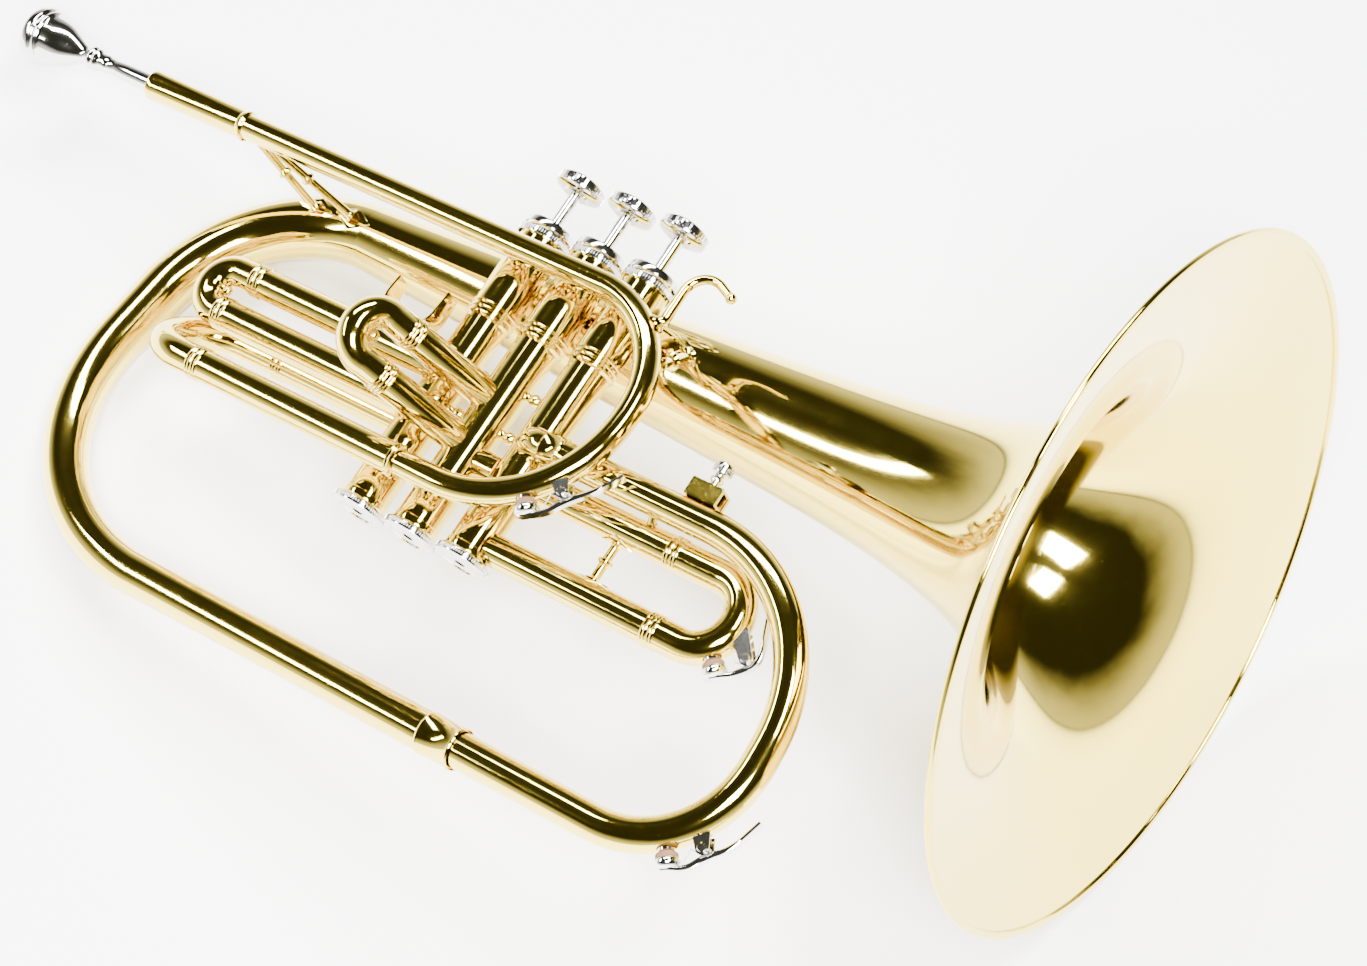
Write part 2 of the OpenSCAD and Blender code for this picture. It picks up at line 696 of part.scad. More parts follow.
// The loop lies in a plane that leans from the valve's side to the middle
loop_lean = unit([0, loop_side, loop_low - loop_height]);
loop_span = norm([0, loop_side, loop_low - loop_height]);
loop_top = [elbow_end + 4.6, -loop_side, loop_height];
loop_bend_x = loop_front - loop_bend_top;
loop_side_way = cross([1, 0, 0], loop_lean);

function on_loop(x, w) = [x, -loop_side, loop_height] + w * loop_lean;
function loop_way(a) = cos(a) * [1, 0, 0] + sin(a) * loop_lean;
loop_rows = concat(
  [for (x = [loop_top[0], 100]) [on_loop(x, 0), loop_way(0)]],
  [for (a = [0 : 7.5 : 90])
    [on_loop(loop_bend_x + loop_bend_top * sin(a), loop_bend_top * (1 - cos(a))), loop_way(a)]],
  [for (a = [0 : 10 : 90])
    [on_loop(loop_front - loop_bend_low * (1 - cos(a)), loop_span - loop_bend_low * (1 - sin(a))),
     loop_way(90 + a)]],
  [for (x = [130, loop_joint - 7.8]) [on_loop(x, loop_span), loop_way(180)]]
);

module loop_tube() {
  n = len(loop_rows);
  color(lacquer)
    swept_tube([for (row = loop_rows) row[0]], [for (row = loop_rows) row[1]],
      [for (i = [0 : n - 1]) (loop_start_d + (loop_end_d - loop_start_d) * i / (n - 1)) / 2],
      tube_wall, loop_side_way);
}

// The tail leans the other way, from the middle up to the bell's side
tail_lean = unit([0, bell_side, bell_height - loop_low]);
tail_span = norm([0, bell_side, bell_height - loop_low]);
tail_side_way = cross([-1, 0, 0], tail_lean);
tail_end_r = bell_cone_r - bell_cone_slope * (bell_reach - bell_start);

function on_tail(x, w) = [x, 0, loop_low] + w * tail_lean;
function tail_way(a) = -cos(a) * [1, 0, 0] + sin(a) * tail_lean;
tail_rows = concat(
  [for (x = [loop_joint - 8, 30, tail_left + tail_bend_low + 3]) [on_tail(x, 0), tail_way(0)]],
  [for (a = [0 : 7.5 : 90])
    [on_tail(tail_left + tail_bend_low * (1 - sin(a)), tail_bend_low * (1 - cos(a))), tail_way(a)]],
  [for (a = [0 : 7.5 : 90])
    [on_tail(tail_left + tail_bend_up * (1 - cos(a)), tail_span - tail_bend_up * (1 - sin(a))),
     tail_way(90 + a)]]
);
tail_far = len(tail_rows) - 1;
function tail_gone(i) = i == 0 ? 0 : tail_gone(i - 1) + norm(tail_rows[i][0] - tail_rows[i - 1][0]);
tail_length = tail_gone(tail_far);

module bell_tail() {
  color(lacquer)
    swept_tube([for (row = tail_rows) row[0]], [for (row = tail_rows) row[1]],
      [for (i = [0 : tail_far])
        tail_start_d / 2 + (tail_end_r - tail_start_d / 2) * pow(tail_gone(i) / tail_length, 2.4)],
      bell_wall, tail_side_way);
}

// Outer radius of the bell at distance d behind the mouth
function bell_r(d) =
  bell_cone_r - bell_cone_slope * d + bell_flare_r * exp(-d / bell_flare_l)
  + (bell_edge_r - bell_cone_r - bell_flare_r) * exp(-d / bell_lip_l);

bell_length = bell_reach - bell_start;
bell_stations = [for (k = [0 : 44]) bell_length * pow(k / 44, 2)];

module bell() {
  outside = [for (d = bell_stations) [bell_r(d), -d]];
  inside = [for (k = [44 : -1 : 0]) [bell_r(bell_stations[k]) - bell_wall, -bell_stations[k]]];
  color(lacquer) translate([bell_reach, bell_side, bell_height]) forward()
    rotate_extrude($fn = 96) polygon(concat(outside, inside));
}

module bell_rim() {
  color(lacquer) translate([bell_reach, bell_side, bell_height]) forward()
    rotate_extrude($fn = 96) translate([rim_ring_r, 0]) difference() {
      circle(r = rim_wire_r);
      translate([-rim_wire_d, rim_wire_r - rim_flat]) square([2 * rim_wire_d, rim_wire_d]);
    }
}

// ---------------------------------------------------------------- water keys
// Frame of a key: the nipple points along +Z, the finger end lies towards +X
module at_key(i) {
  place = key_places[i];
  translate([place[1], place[0], place[2]])
    rotate([0, 90 - place[4], 0])
      rotate([0, 0, 180])
        children();
}

function key_skin(i) = key_places[i][3];
function key_pivot_x(i) = key_places[i][5];
function key_pivot_z(i) = sqrt(pow(key_skin(i), 2) - pow(key_pivot_x(i), 2)) + key_places[i][6];
function key_seat(i) = key_skin(i) + nipple_h;

// The nipple, its foot and the two ears that carry the pivot
module key_saddle(i) {
  x = key_pivot_x(i);
  z = key_pivot_z(i);
  foot = sqrt(pow(key_skin(i), 2) - pow(x + 3, 2)) - 0.3;
  tube_r = key_skin(i) - key_bend(i);
  color(nickel) at_key(i) difference() {
    union() {
      translate([0, 0, key_skin(i) - 1]) cylinder(r = nipple_r, h = nipple_h + 1);
      for (side = [-1, 1]) translate([x, side * (key_ear_gap + key_ear_t / 2), 0]) {
        translate([-3, -key_ear_t / 2, foot]) cube([6, key_ear_t, z - foot]);
        translate([0, key_ear_t / 2, z]) to_right() cylinder(r = 3, h = key_ear_t);
      }
    }
    translate([0, 0, key_skin(i) - 2]) cylinder(r = 1.3, h = nipple_h + 5);
    translate([x, 10, z]) to_right() cylinder(r = key_pin_r, h = 20);
    rotate([90, 0, 0]) rotate_extrude(angle = 180) translate([key_bend(i), 0]) circle(r = tube_r);
  }
}

function key_bend(i) = i == 0 ? lead_bend_low : i == 1 ? third_r : loop_bend_low;

module key_pin(i) {
  half = key_ear_gap + key_ear_t + 0.8;
  color(nickel) at_key(i) translate([key_pivot_x(i), half, key_pivot_z(i)]) to_right() {
    cylinder(r = key_pin_r, h = 2 * half);
    cylinder(r = 1.8, h = 0.75);
  }
}

// A bent strip of even thickness through three points of a plane
module strip(a, b, c, t) {
  n_a = unit([a[1] - b[1], b[0] - a[0]]);
  n_c = unit([b[1] - c[1], c[0] - b[0]]);
  n_b = unit(n_a + n_c);
  polygon([a, b, c, c + t * n_c, b + t * n_b, a + t * n_a]);
}

module key_lever(i) {
  x = key_pivot_x(i);
  z = key_pivot_z(i);
  cup = key_seat(i) + cork_h - 0.9;
  t = key_lever_t;
  top = max(cup + cup_h, z + key_barrel_r - 0.4);
  tip = key_tips[i];
  color(nickel) at_key(i) difference() {
    union() {
      translate([0, 0, cup]) cylinder(r = cup_r, h = cup_h);
      translate([x, key_barrel_w / 2, z]) to_right() cylinder(r = key_barrel_r, h = key_barrel_w);
      translate([0, key_barrel_w / 2, 0]) to_right() linear_extrude(height = key_barrel_w)
        polygon([
          [0, cup + cup_h - t], [0, cup + cup_h], [x * 0.55, top + 1.6], [x, z + key_barrel_r + t],
          [x + 6, z + key_barrel_r + 1.2], [x + 7, z + key_barrel_r], [x + 3, z + 0.2],
          [x - 3, z + 0.2], [x * 0.5, top - t + 1.2]
        ]);
      translate([0, key_lever_w / 2, 0]) to_right() linear_extrude(height = key_lever_w)
        strip([x + 3, z + key_barrel_r - 0.4], [x + tip[0] * 0.6 + 2, z + key_barrel_r + tip[1] * 0.35],
              [x + tip[0], z + tip[1]], t);
    }
    translate([0, 0, cup - over]) cylinder(r = cork_r, h = 0.9 + over);
    translate([x, 10, z]) to_right() cylinder(r = key_pin_r + key_pin_gap, h = 20);
  }
}

module key_cork(i) {
  color(cork_tan) at_key(i) translate([0, 0, key_seat(i)]) cylinder(r = cork_r, h = cork_h);
}

// ---------------------------------------------------------------- hand fittings
thumb_r = 12.5;
thumb_t = 1;
thumb_w = 11;
thumb_x = -25;

module thumb_saddle() {
  base = first_up + sleeve_r + air;
  color(lacquer) translate([thumb_x, first_side + thumb_w / 2, base + thumb_r]) to_right()
    linear_extrude(height = thumb_w) union() {
      difference() {
        circle(r = thumb_r);
        circle(r = thumb_r - thumb_t);
        translate([-20, 0]) square([40, 20]);
      }
      translate([-thumb_r, 0]) square([thumb_t, 7]);
      translate([thumb_r - thumb_t, 0]) square([thumb_t, 9]);
    }
}

hook_r = 1.9;
hook_bend = 9;
hook_angle = 50;       // place of the hook on the leadpipe's upper bend
hook_sweep = 115;

module finger_hook() {
  foot = lead_bend_top + lead_r + air;
  lift = 3;
  color(lacquer) translate([lead_front, -leadpipe_side, leadpipe_height - lead_bend_top])
    rotate([0, 90 - hook_angle, 0]) translate([0, 0, foot]) {
      cylinder(r1 = 3.6, r2 = 2.4, h = lift);
      translate([0, 0, lift]) sphere(r = 2.6);
      translate([0, 0, lift]) rotate([0, hook_angle - 90, 0]) {
        cylinder(r = hook_r, h = 14);
        translate([0, 0, 14]) translate([hook_bend, 0, 0]) rotate([90, 0, 180])
          rotate_extrude(angle = hook_sweep) translate([hook_bend, 0]) circle(r = hook_r);
        translate([hook_bend * (1 - cos(hook_sweep)), 0, 14 + hook_bend * sin(hook_sweep)])
          rotate([0, hook_sweep, 0]) {
            cylinder(r = hook_r, h = 7);
            translate([0, 0, 7]) sphere(r = hook_r + 0.4);
          }
      }
    }
}

lyre_l = 14;
lyre_w = 9;
lyre_h = 7.4;
lyre_hole = 5.4;
lyre_x = 125;
lyre_screw_r = 1.8;

module lyre_socket() {
  base = loop_height + loop_start_d / 2 + 0.25;
  color(lacquer) translate([lyre_x, -loop_side, base]) difference() {
    translate([0, -lyre_w / 2, 0]) cube([lyre_l, lyre_w, lyre_h]);
    translate([-over, -lyre_hole / 2, 1]) cube([lyre_l + 2 * over, lyre_hole, lyre_hole]);
    translate([lyre_l / 2, 0, 3]) cylinder(r = lyre_screw_r, h = 20);
  }
}

module lyre_screw() {
  base = loop_height + loop_start_d / 2 + 0.25;
  color(nickel) translate([lyre_x + lyre_l / 2, -loop_side, base + 3.5]) {
    cylinder(r = lyre_screw_r - 0.05, h = 9.5);
    translate([0, 0, 6]) cylinder(r = 2.6, h = 3.6);
    translate([0, 0, 9.6]) cylinder(r = 4.1, h = 5);
  }
}

// ---------------------------------------------------------------- stays between the tubes
third_stay_x = 105;
front_stay_x = 80;
module brace_rods() {
  bell_here = function(x) bell_r(bell_reach - x);
  color(lacquer) {
    // between the two legs of the third slide
    translate([third_stay_x, 0, third_low + sleeve_r + air])
      cylinder(r = 1.9, h = third_up - third_low - sleeve_d - 2 * air);
    translate([third_stay_x, 0, (third_up + third_low) / 2 - 1.2]) cylinder(r = 2.7, h = 2.4);
    // leadpipe to the first and third casings
    for (x = [0, third_x])
      translate([x, -balustrade_r - air, leadpipe_height]) to_right()
        cylinder(r = 2.2, h = leadpipe_side - balustrade_r - lead_r - 2 * air);
    // lower mouthpipe to the second casing
    translate([valve_pitch, -casing_r - air, lead_low]) to_right()
      cylinder(r = 2.2, h = leadpipe_side - casing_r - lead_r - 2 * air);
    // casings to the bell
    for (x = [0, valve_pitch])
      translate([x, balustrade_r + air, bell_height]) to_left()
        cylinder(r = 2.4, h = bell_side - bell_here(x) - balustrade_r - 0.4);
    // loop to the third slide's upper sleeve
    loop_point = [115, -loop_side, loop_height];
    sleeve_point = [115, 0, third_up];
    stay = unit(sleeve_point - loop_point);
    bar(loop_point + stay * (loop_start_d / 2 + 0.3), sleeve_point - stay * (sleeve_r + 0.1), 1.8);
    // leadpipe to the bell's tail, behind the receiver
    back_y = -leadpipe_side + lead_r + 1;
    bar([-136, back_y, leadpipe_height - 0.5], [-116, bell_side - 15.4, bell_height - 3], 1.8);
    bar([-130.5, back_y, leadpipe_height - 0.5], [-98, bell_side - 15.4, bell_height], 1.8);
    // front of the leadpipe to the bell
    bar([85, -leadpipe_side + lead_r + 1, 38], [front_stay_x, bell_side - bell_here(front_stay_x) - 1.6,
        bell_height + 1], 2.2);
  }
}

lie_down() mouthpiece();
lie_down() mouthpiece_receiver();
lie_down() leadpipe();
lie_down() tube_ferrules();
lie_down() tuning_sleeves();
lie_down() tuning_bow();
lie_down() tuning_legs();
for (i = [1 : 3]) {
  lie_down() casing(i);
  lie_down() piston(i);
  lie_down() valve_stem(i);
  lie_down() finger_button(i);
  lie_down() valve_felt(i);
  lie_down() valve_spring(i);
  lie_down() key_lever(i - 1);
  lie_down() key_cork(i - 1);
}
lie_down() casing_bridges();
lie_down() valve_guides();
lie_down() top_caps();
lie_down() bottom_caps();
lie_down() first_slide_sleeves();
lie_down() first_slide_bow();
lie_down() first_slide_legs();
lie_down() second_slide_sleeves();
lie_down() second_slide_bow();
lie_down() second_slide_legs();
lie_down() third_slide_sleeves();
lie_down() third_slide_bow();
lie_down() third_slide_legs();
lie_down() loop_elbow();
lie_down() loop_tube();
lie_down() bell_tail();
lie_down() bell();
lie_down() bell_rim();
lie_down() for (i = [0, 2]) key_saddle(i);  // key_saddles
lie_down() key_saddle(1);  // third_key_saddle
lie_down() for (i = [0, 2]) key_pin(i);  // key_pins
lie_down() key_pin(1);  // third_key_pin
lie_down() thumb_saddle();
lie_down() finger_hook();
lie_down() lyre_socket();
lie_down() lyre_screw();
lie_down() brace_rods();
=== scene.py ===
"""Marching mellophone: lacquered brass, plated valve gear and water keys, laid on its side on a pale table.

Lengths are drawn in millimetres in the horn's own frame (X towards the mouth of the bell, Z along the
valves towards the finger buttons, Y to the player's left) and moved into the model's frame at the end.
"""
import json
import math

import bmesh
import bpy
from mathutils import Matrix, Vector


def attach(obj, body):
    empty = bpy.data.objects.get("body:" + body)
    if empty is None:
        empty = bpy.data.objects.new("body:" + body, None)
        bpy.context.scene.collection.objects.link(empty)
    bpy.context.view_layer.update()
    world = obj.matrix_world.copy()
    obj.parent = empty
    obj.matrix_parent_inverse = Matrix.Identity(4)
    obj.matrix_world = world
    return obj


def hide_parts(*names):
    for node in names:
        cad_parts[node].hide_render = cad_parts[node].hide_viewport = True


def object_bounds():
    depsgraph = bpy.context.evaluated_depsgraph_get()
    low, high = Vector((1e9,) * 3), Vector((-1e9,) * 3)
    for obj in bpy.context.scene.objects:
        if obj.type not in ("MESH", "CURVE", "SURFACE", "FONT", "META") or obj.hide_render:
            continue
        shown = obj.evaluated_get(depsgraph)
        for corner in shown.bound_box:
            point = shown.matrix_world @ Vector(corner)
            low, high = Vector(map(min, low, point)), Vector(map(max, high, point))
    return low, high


bl_info = {
    "name": "Marching mellophone",
    "version": (1, 0, 0),
    "blender": (4, 5, 0),
    "location": "3D View > Sidebar > Mellophone",
    "description": "Builds the tubes, bell, valves and fittings of a marching mellophone",
    "category": "Object",
}

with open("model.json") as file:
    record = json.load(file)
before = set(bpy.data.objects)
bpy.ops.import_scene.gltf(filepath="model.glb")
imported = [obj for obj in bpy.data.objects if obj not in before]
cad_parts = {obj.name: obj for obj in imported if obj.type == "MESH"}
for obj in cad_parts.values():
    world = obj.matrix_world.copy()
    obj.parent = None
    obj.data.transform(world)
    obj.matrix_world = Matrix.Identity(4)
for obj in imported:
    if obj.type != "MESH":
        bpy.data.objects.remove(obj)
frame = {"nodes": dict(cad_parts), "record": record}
CAD_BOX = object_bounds()
JOINTS = {joint["name"]: joint for joint in frame["record"]["behaviour"]["joints"]}
MOUNTS = {mount["name"]: mount for mount in frame["record"]["mounts"]}


def horn_frame():
    """The matrix from the horn's own millimetres to the model's metres, read from the frame's joints."""
    along = Vector(MOUNTS["bell_rim_face"]["axis"]).normalized()
    up = -Vector(JOINTS["valve_1_press"]["axis"]).normalized()
    turn = Matrix((along, up.cross(along), up)).transposed()
    screw = Vector(JOINTS["lyre_screw_turn"]["pos_m"])
    origin = screw - turn @ Vector((0.132, -0.0112, 0.010))
    return Matrix.Translation(origin) @ turn.to_4x4() @ Matrix.Scale(0.001, 4)


HORN = horn_frame()
AHEAD, LEFT, UP = Vector((1, 0, 0)), Vector((0, 1, 0)), Vector((0, 0, 1))
BACK, RIGHT = -AHEAD, -LEFT
VALVES = (0.0, 26.0, 52.0)
SLOTS = {"brass": "lacquered_brass", "plate": "silver_plate", "nickel": "nickel_silver",
         "wire": "spring_steel", "felt": "felt", "cork": "cork"}


# ------------------------------------------------------------------ what a user would change
def length(name, description, default):
    """A length in metres."""
    return bpy.props.FloatProperty(name=name, description=description, default=default, unit="LENGTH")


def count(name, description, default):
    """A whole number of faces or ridges."""
    return bpy.props.IntProperty(name=name, description=description, default=default, min=12)


def colour(name, description, default):
    """A colour picked from a swatch."""
    return bpy.props.FloatVectorProperty(
        name=name, description=description, default=default, subtype="COLOR", size=3)


class HornSizes(bpy.types.PropertyGroup):
    """Sizes of the horn, in metres."""
    bell_diameter: length("Bell diameter", "Diameter over the rolled rim", 0.280)
    sleeve_diameter: length("Sleeve diameter", "Outer diameter of the slide sleeves", 0.0132)
    leadpipe_diameter: length("Leadpipe diameter", "Outer diameter of the leadpipe", 0.0108)
    cap_diameter: length("Cap diameter", "Diameter of the valve caps over their knurls", 0.0233)
    button_diameter: length("Button diameter", "Diameter of the finger buttons", 0.021)
    pipe_sides: count("Pipe sides", "Faces round each tube", 40)
    knurls: count("Knurls", "Ridges round each valve cap", 64)


class HornFinishes(bpy.types.PropertyGroup):
    """Colours of the horn's finishes."""
    lacquer: colour("Lacquered brass", "Clear-lacquered yellow brass", (0.87, 0.69, 0.11))
    lacquer_deep: colour("Deeper brass", "Brass where the lacquer lies thicker", (0.77, 0.56, 0.05))
    silver: colour("Plate", "Bright plate on mouthpiece, caps, buttons and water keys", (0.82, 0.81, 0.79))
    nickel: colour("Nickel silver", "Inner slide legs", (0.74, 0.71, 0.65))
    table: colour("Table", "Pale table top", (0.86, 0.86, 0.87))


# ------------------------------------------------------------------ shader sockets as values
class Value:
    """A socket that Python's operators add Math nodes to."""

    def __init__(self, tree, socket):
        self.tree, self.socket = tree, socket

    def _math(self, operation, first, second):
        """A Math node of that operation between two values, of which either may be a number."""
        node = self.tree.nodes.new("ShaderNodeMath")
        node.operation = operation
        for slot, value in zip(node.inputs, (first, second)):
            if isinstance(value, Value):
                self.tree.links.new(value.socket, slot)
            else:
                slot.default_value = value
        return Value(self.tree, node.outputs[0])

    def __add__(self, other):
        return self._math("ADD", self, other)

    def __radd__(self, other):
        return self._math("ADD", other, self)

    def __sub__(self, other):
        return self._math("SUBTRACT", self, other)

    def __rsub__(self, other):
        return self._math("SUBTRACT", other, self)

    def __mul__(self, other):
        return self._math("MULTIPLY", self, other)

    def __rmul__(self, other):
        return self._math("MULTIPLY", other, self)

    def __truediv__(self, other):
        return self._math("DIVIDE", self, other)

    def __rtruediv__(self, other):
        return self._math("DIVIDE", other, self)

    def __pow__(self, other):
        return self._math("POWER", self, other)


class Finish:
    """A material or world, and the nodes that make it."""

    def __init__(self, block):
        block.use_nodes = True
        self.block, self.tree = block, block.node_tree
        self.tree.nodes.clear()

    def node(self, kind, settings=None, sockets=None, output=0):
        """A node of that kind with its settings, then its sockets, as a Value."""
        made = self.tree.nodes.new(kind)
        for name, value in (settings or {}).items():
            if name == "ramp":
                while len(made.color_ramp.elements) < len(value):
                    made.color_ramp.elements.new(0.5)
                for stop, (place, colour) in zip(made.color_ramp.elements, value):
                    stop.position, stop.color = place, (*colour, 1.0) if len(colour) == 3 else colour
            else:
                setattr(made, name, value)
        for name, value in (sockets or {}).items():
            slot = made.inputs[name]  # a name, or a number where names repeat
            if isinstance(value, Value):
                self.tree.links.new(value.socket, slot)
            elif slot.type == "RGBA" and len(value) == 3:
                slot.default_value = (*value, 1.0)
            else:
                slot.default_value = value
        return Value(self.tree, made.outputs[output]) if made.outputs else None

    def place(self):
        """The place on the object, in its own coordinates."""
        return self.node("ShaderNodeTexCoord", output=3)

    def noise(self, scale, detail=2.0, roughness=0.5, distortion=0.0):
        """Cloudy noise over the object."""
        return self.node("ShaderNodeTexNoise", sockets={
            "Vector": self.place(), "Scale": scale, "Detail": detail, "Roughness": roughness,
            "Distortion": distortion})

    def mix(self, amount, one, other):
        """A colour between two."""
        made = self.tree.nodes.new("ShaderNodeMix")
        made.data_type = "RGBA"
        for slot, value in ((made.inputs[0], amount), (made.inputs[6], one), (made.inputs[7], other)):
            if isinstance(value, Value):
                self.tree.links.new(value.socket, slot)
            else:
                slot.default_value = (*value, 1.0) if hasattr(value, "__len__") else value
        return Value(self.tree, made.outputs[2])

    def bump(self, height, strength, distance):
        """A normal raised by a height."""
        sockets = {"Height": height, "Strength": strength, "Distance": distance}
        return self.node("ShaderNodeBump", sockets=sockets)

    def shade(self, **sockets):
        """Ends the material in one surface: sockets are named with _ for a space."""
        named = {name.replace("_", " "): value for name, value in sockets.items()}
        surface = self.node("ShaderNodeBsdfPrincipled", sockets=named)
        self.node("ShaderNodeOutputMaterial", sockets={"Surface": surface})
        return self.block


def polished(name, pale, deep, roughness, coat):
    """Buffed metal: soft colour drift, fine haze from wiping, and a faint ripple in the sheet."""
    f = Finish(bpy.data.materials.new(name))
    drift = f.noise(14.0, 3.0, 0.55)
    haze = f.noise(90.0, 5.0, 0.65, 0.6)
    grain = f.noise(1400.0, 2.0)
    ripple = f.noise(38.0, 2.0)
    specks = f.node("ShaderNodeTexVoronoi", {"feature": "F1"}, {"Vector": f.place(), "Scale": 260.0})
    dust = f.node("ShaderNodeMapRange", {"clamp": True}, {
        "Value": specks, "From Min": 0.02, "From Max": 0.10, "To Min": 1.0, "To Max": 0.0})
    colour = f.mix(drift * 0.7, pale, deep)
    rough = roughness + haze * 0.05 + grain * 0.015 + dust * 0.10
    return f.shade(Base_Color=colour, Metallic=1.0, Roughness=rough, Coat_Weight=coat, Coat_Roughness=0.04,
                   Normal=f.bump(ripple + grain * 0.04, 0.10, 0.0004))


def make_finishes(colours):
    """Every finish of the horn, by name."""
    made = {
        "brass": polished("Lacquered brass", colours.lacquer, colours.lacquer_deep, 0.035, 0.35),
        "plate": polished("Bright plate", colours.silver, [c * 0.93 for c in colours.silver], 0.05, 0.0),
        "nickel": polished("Nickel silver", colours.nickel, [c * 0.88 for c in colours.nickel], 0.09, 0.0),
    }
    f = Finish(bpy.data.materials.new("Spring wire"))
    tone = f.mix(f.noise(300.0), (0.42, 0.42, 0.44), (0.55, 0.55, 0.57))
    made["wire"] = f.shade(Base_Color=tone, Metallic=1.0, Roughness=0.25 + f.noise(900.0) * 0.2)
    f = Finish(bpy.data.materials.new("Wool felt"))
    fluff = f.noise(2600.0, 5.0, 0.8)
    made["felt"] = f.shade(Base_Color=f.mix(fluff, (0.80, 0.78, 0.72), (0.62, 0.60, 0.55)), Roughness=0.95,
                           Sheen_Weight=0.5, Normal=f.bump(fluff, 0.7, 0.0006))
    f = Finish(bpy.data.materials.new("Natural cork"))
    cells = f.node("ShaderNodeTexVoronoi", {"feature": "F1"}, {"Vector": f.place(), "Scale": 900.0})
    pits = f.noise(420.0, 4.0, 0.7)
    made["cork"] = f.shade(Base_Color=f.mix(pits, (0.075, 0.032, 0.014), (0.17, 0.085, 0.04)), Roughness=0.85,
                           Normal=f.bump(cells * 0.5 + pits, 0.6, 0.0004))
    return made


# ------------------------------------------------------------------ geometry node trees
def new_tree(name, inputs):
    """A geometry tree with its group input and output, and the identifiers of its named inputs."""
    tree = bpy.data.node_groups.new(name, "GeometryNodeTree")
    tree.interface.new_socket("Geometry", in_out="INPUT", socket_type="NodeSocketGeometry")
    slots = {}
    for label, kind, default in inputs:
        item = tree.interface.new_socket(label, in_out="INPUT", socket_type=kind)
        if default is not None:
            item.default_value = default
        slots[label] = item.identifier
    tree.interface.new_socket("Geometry", in_out="OUTPUT", socket_type="NodeSocketGeometry")
    return tree, slots, tree.nodes.new("NodeGroupInput"), tree.nodes.new("NodeGroupOutput")


def end_tree(tree, source, material, output):
    """Ends a tree in Realize Instances and Set Material."""
    real = tree.nodes.new("GeometryNodeRealizeInstances")
    paint = tree.nodes.new("GeometryNodeSetMaterial")
    tree.links.new(source, real.inputs["Geometry"])
    tree.links.new(real.outputs[0], paint.inputs["Geometry"])
    tree.links.new(material, paint.inputs["Material"])
    tree.links.new(paint.outputs[0], output.inputs[0])


def pipe_tree():
    """Round tubes along the edges of a mesh, as wide as its points say."""
    tree, slots, entry, output = new_tree("Tubes along paths", [
        ("Sides", "NodeSocketInt", 40), ("Finish", "NodeSocketMaterial", None)])
    curve = tree.nodes.new("GeometryNodeMeshToCurve")
    width = tree.nodes.new("GeometryNodeInputNamedAttribute")
    width.data_type = "FLOAT"
    width.inputs["Name"].default_value = "pipe_radius"
    ring = tree.nodes.new("GeometryNodeCurvePrimitiveCircle")
    ring.inputs["Radius"].default_value = 1.0
    sweep = tree.nodes.new("GeometryNodeCurveToMesh")
    sweep.inputs["Fill Caps"].default_value = True
    tree.links.new(entry.outputs["Geometry"], curve.inputs["Mesh"])
    tree.links.new(entry.outputs["Sides"], ring.inputs["Resolution"])
    tree.links.new(curve.outputs[0], sweep.inputs["Curve"])
    tree.links.new(ring.outputs[0], sweep.inputs["Profile Curve"])
    tree.links.new(width.outputs[0], sweep.inputs["Scale"])
    end_tree(tree, sweep.outputs[0], entry.outputs["Finish"], output)
    return tree, slots


def knurl_tree():
    """Straight ridges round a band that stands on the XY plane."""
    tree, slots, entry, output = new_tree("Knurled band", [
        ("Count", "NodeSocketInt", 60), ("Radius", "NodeSocketFloat", 10.0),
        ("Ridge", "NodeSocketVector", None), ("Finish", "NodeSocketMaterial", None)])
    circle = tree.nodes.new("GeometryNodeMeshCircle")
    spot = tree.nodes.new("GeometryNodeInputPosition")
    face = tree.nodes.new("FunctionNodeAlignRotationToVector")
    face.axis = "X"
    bar = tree.nodes.new("GeometryNodeMeshCube")
    copies = tree.nodes.new("GeometryNodeInstanceOnPoints")
    tree.links.new(entry.outputs["Count"], circle.inputs["Vertices"])
    tree.links.new(entry.outputs["Radius"], circle.inputs["Radius"])
    tree.links.new(spot.outputs[0], face.inputs["Vector"])
    tree.links.new(entry.outputs["Ridge"], bar.inputs["Size"])
    tree.links.new(circle.outputs[0], copies.inputs["Points"])
    tree.links.new(bar.outputs[0], copies.inputs["Instance"])
    tree.links.new(face.outputs[0], copies.inputs["Rotation"])
    end_tree(tree, copies.outputs[0], entry.outputs["Finish"], output)
    return tree, slots


# ------------------------------------------------------------------ making meshes
SHOP = {}


def shop():
    """Finishes and trees, made once."""
    if not SHOP:
        SHOP["finish"] = make_finishes(bpy.context.scene.horn_finishes)
        SHOP["pipe"] = pipe_tree()
        SHOP["knurl"] = knurl_tree()
    return SHOP


def sizes():
    """The horn's sizes, as the user left them."""
    return bpy.context.scene.horn_sizes


def half_mm(diameter):
    """Half of a diameter in metres, in millimetres."""
    return diameter * 500


def evaluated(obj):
    """The object's mesh with its modifiers applied, as a plain mesh."""
    graph = bpy.context.evaluated_depsgraph_get()
    return bpy.data.meshes.new_from_object(
        obj.evaluated_get(graph), preserve_all_data_layers=True, depsgraph=graph)


def run_tree(mesh, kind, values):
    """Runs one of the trees on a mesh and returns what it makes."""
    tree, slots = shop()[kind]
    obj = bpy.data.objects.new("working", mesh)
    bpy.context.collection.objects.link(obj)
    modifier = obj.modifiers.new("shape", "NODES")
    modifier.node_group = tree
    for label, value in values.items():
        modifier[slots[label]] = value
    made = evaluated(obj)
    bpy.data.objects.remove(obj)
    return made


def closed(bm, name):
    """The mesh of a finished shape, its faces turned outward."""
    bmesh.ops.recalc_face_normals(bm, faces=bm.faces)
    mesh = bpy.data.meshes.new(name)
    bm.to_mesh(mesh)
    bm.free()
    return mesh


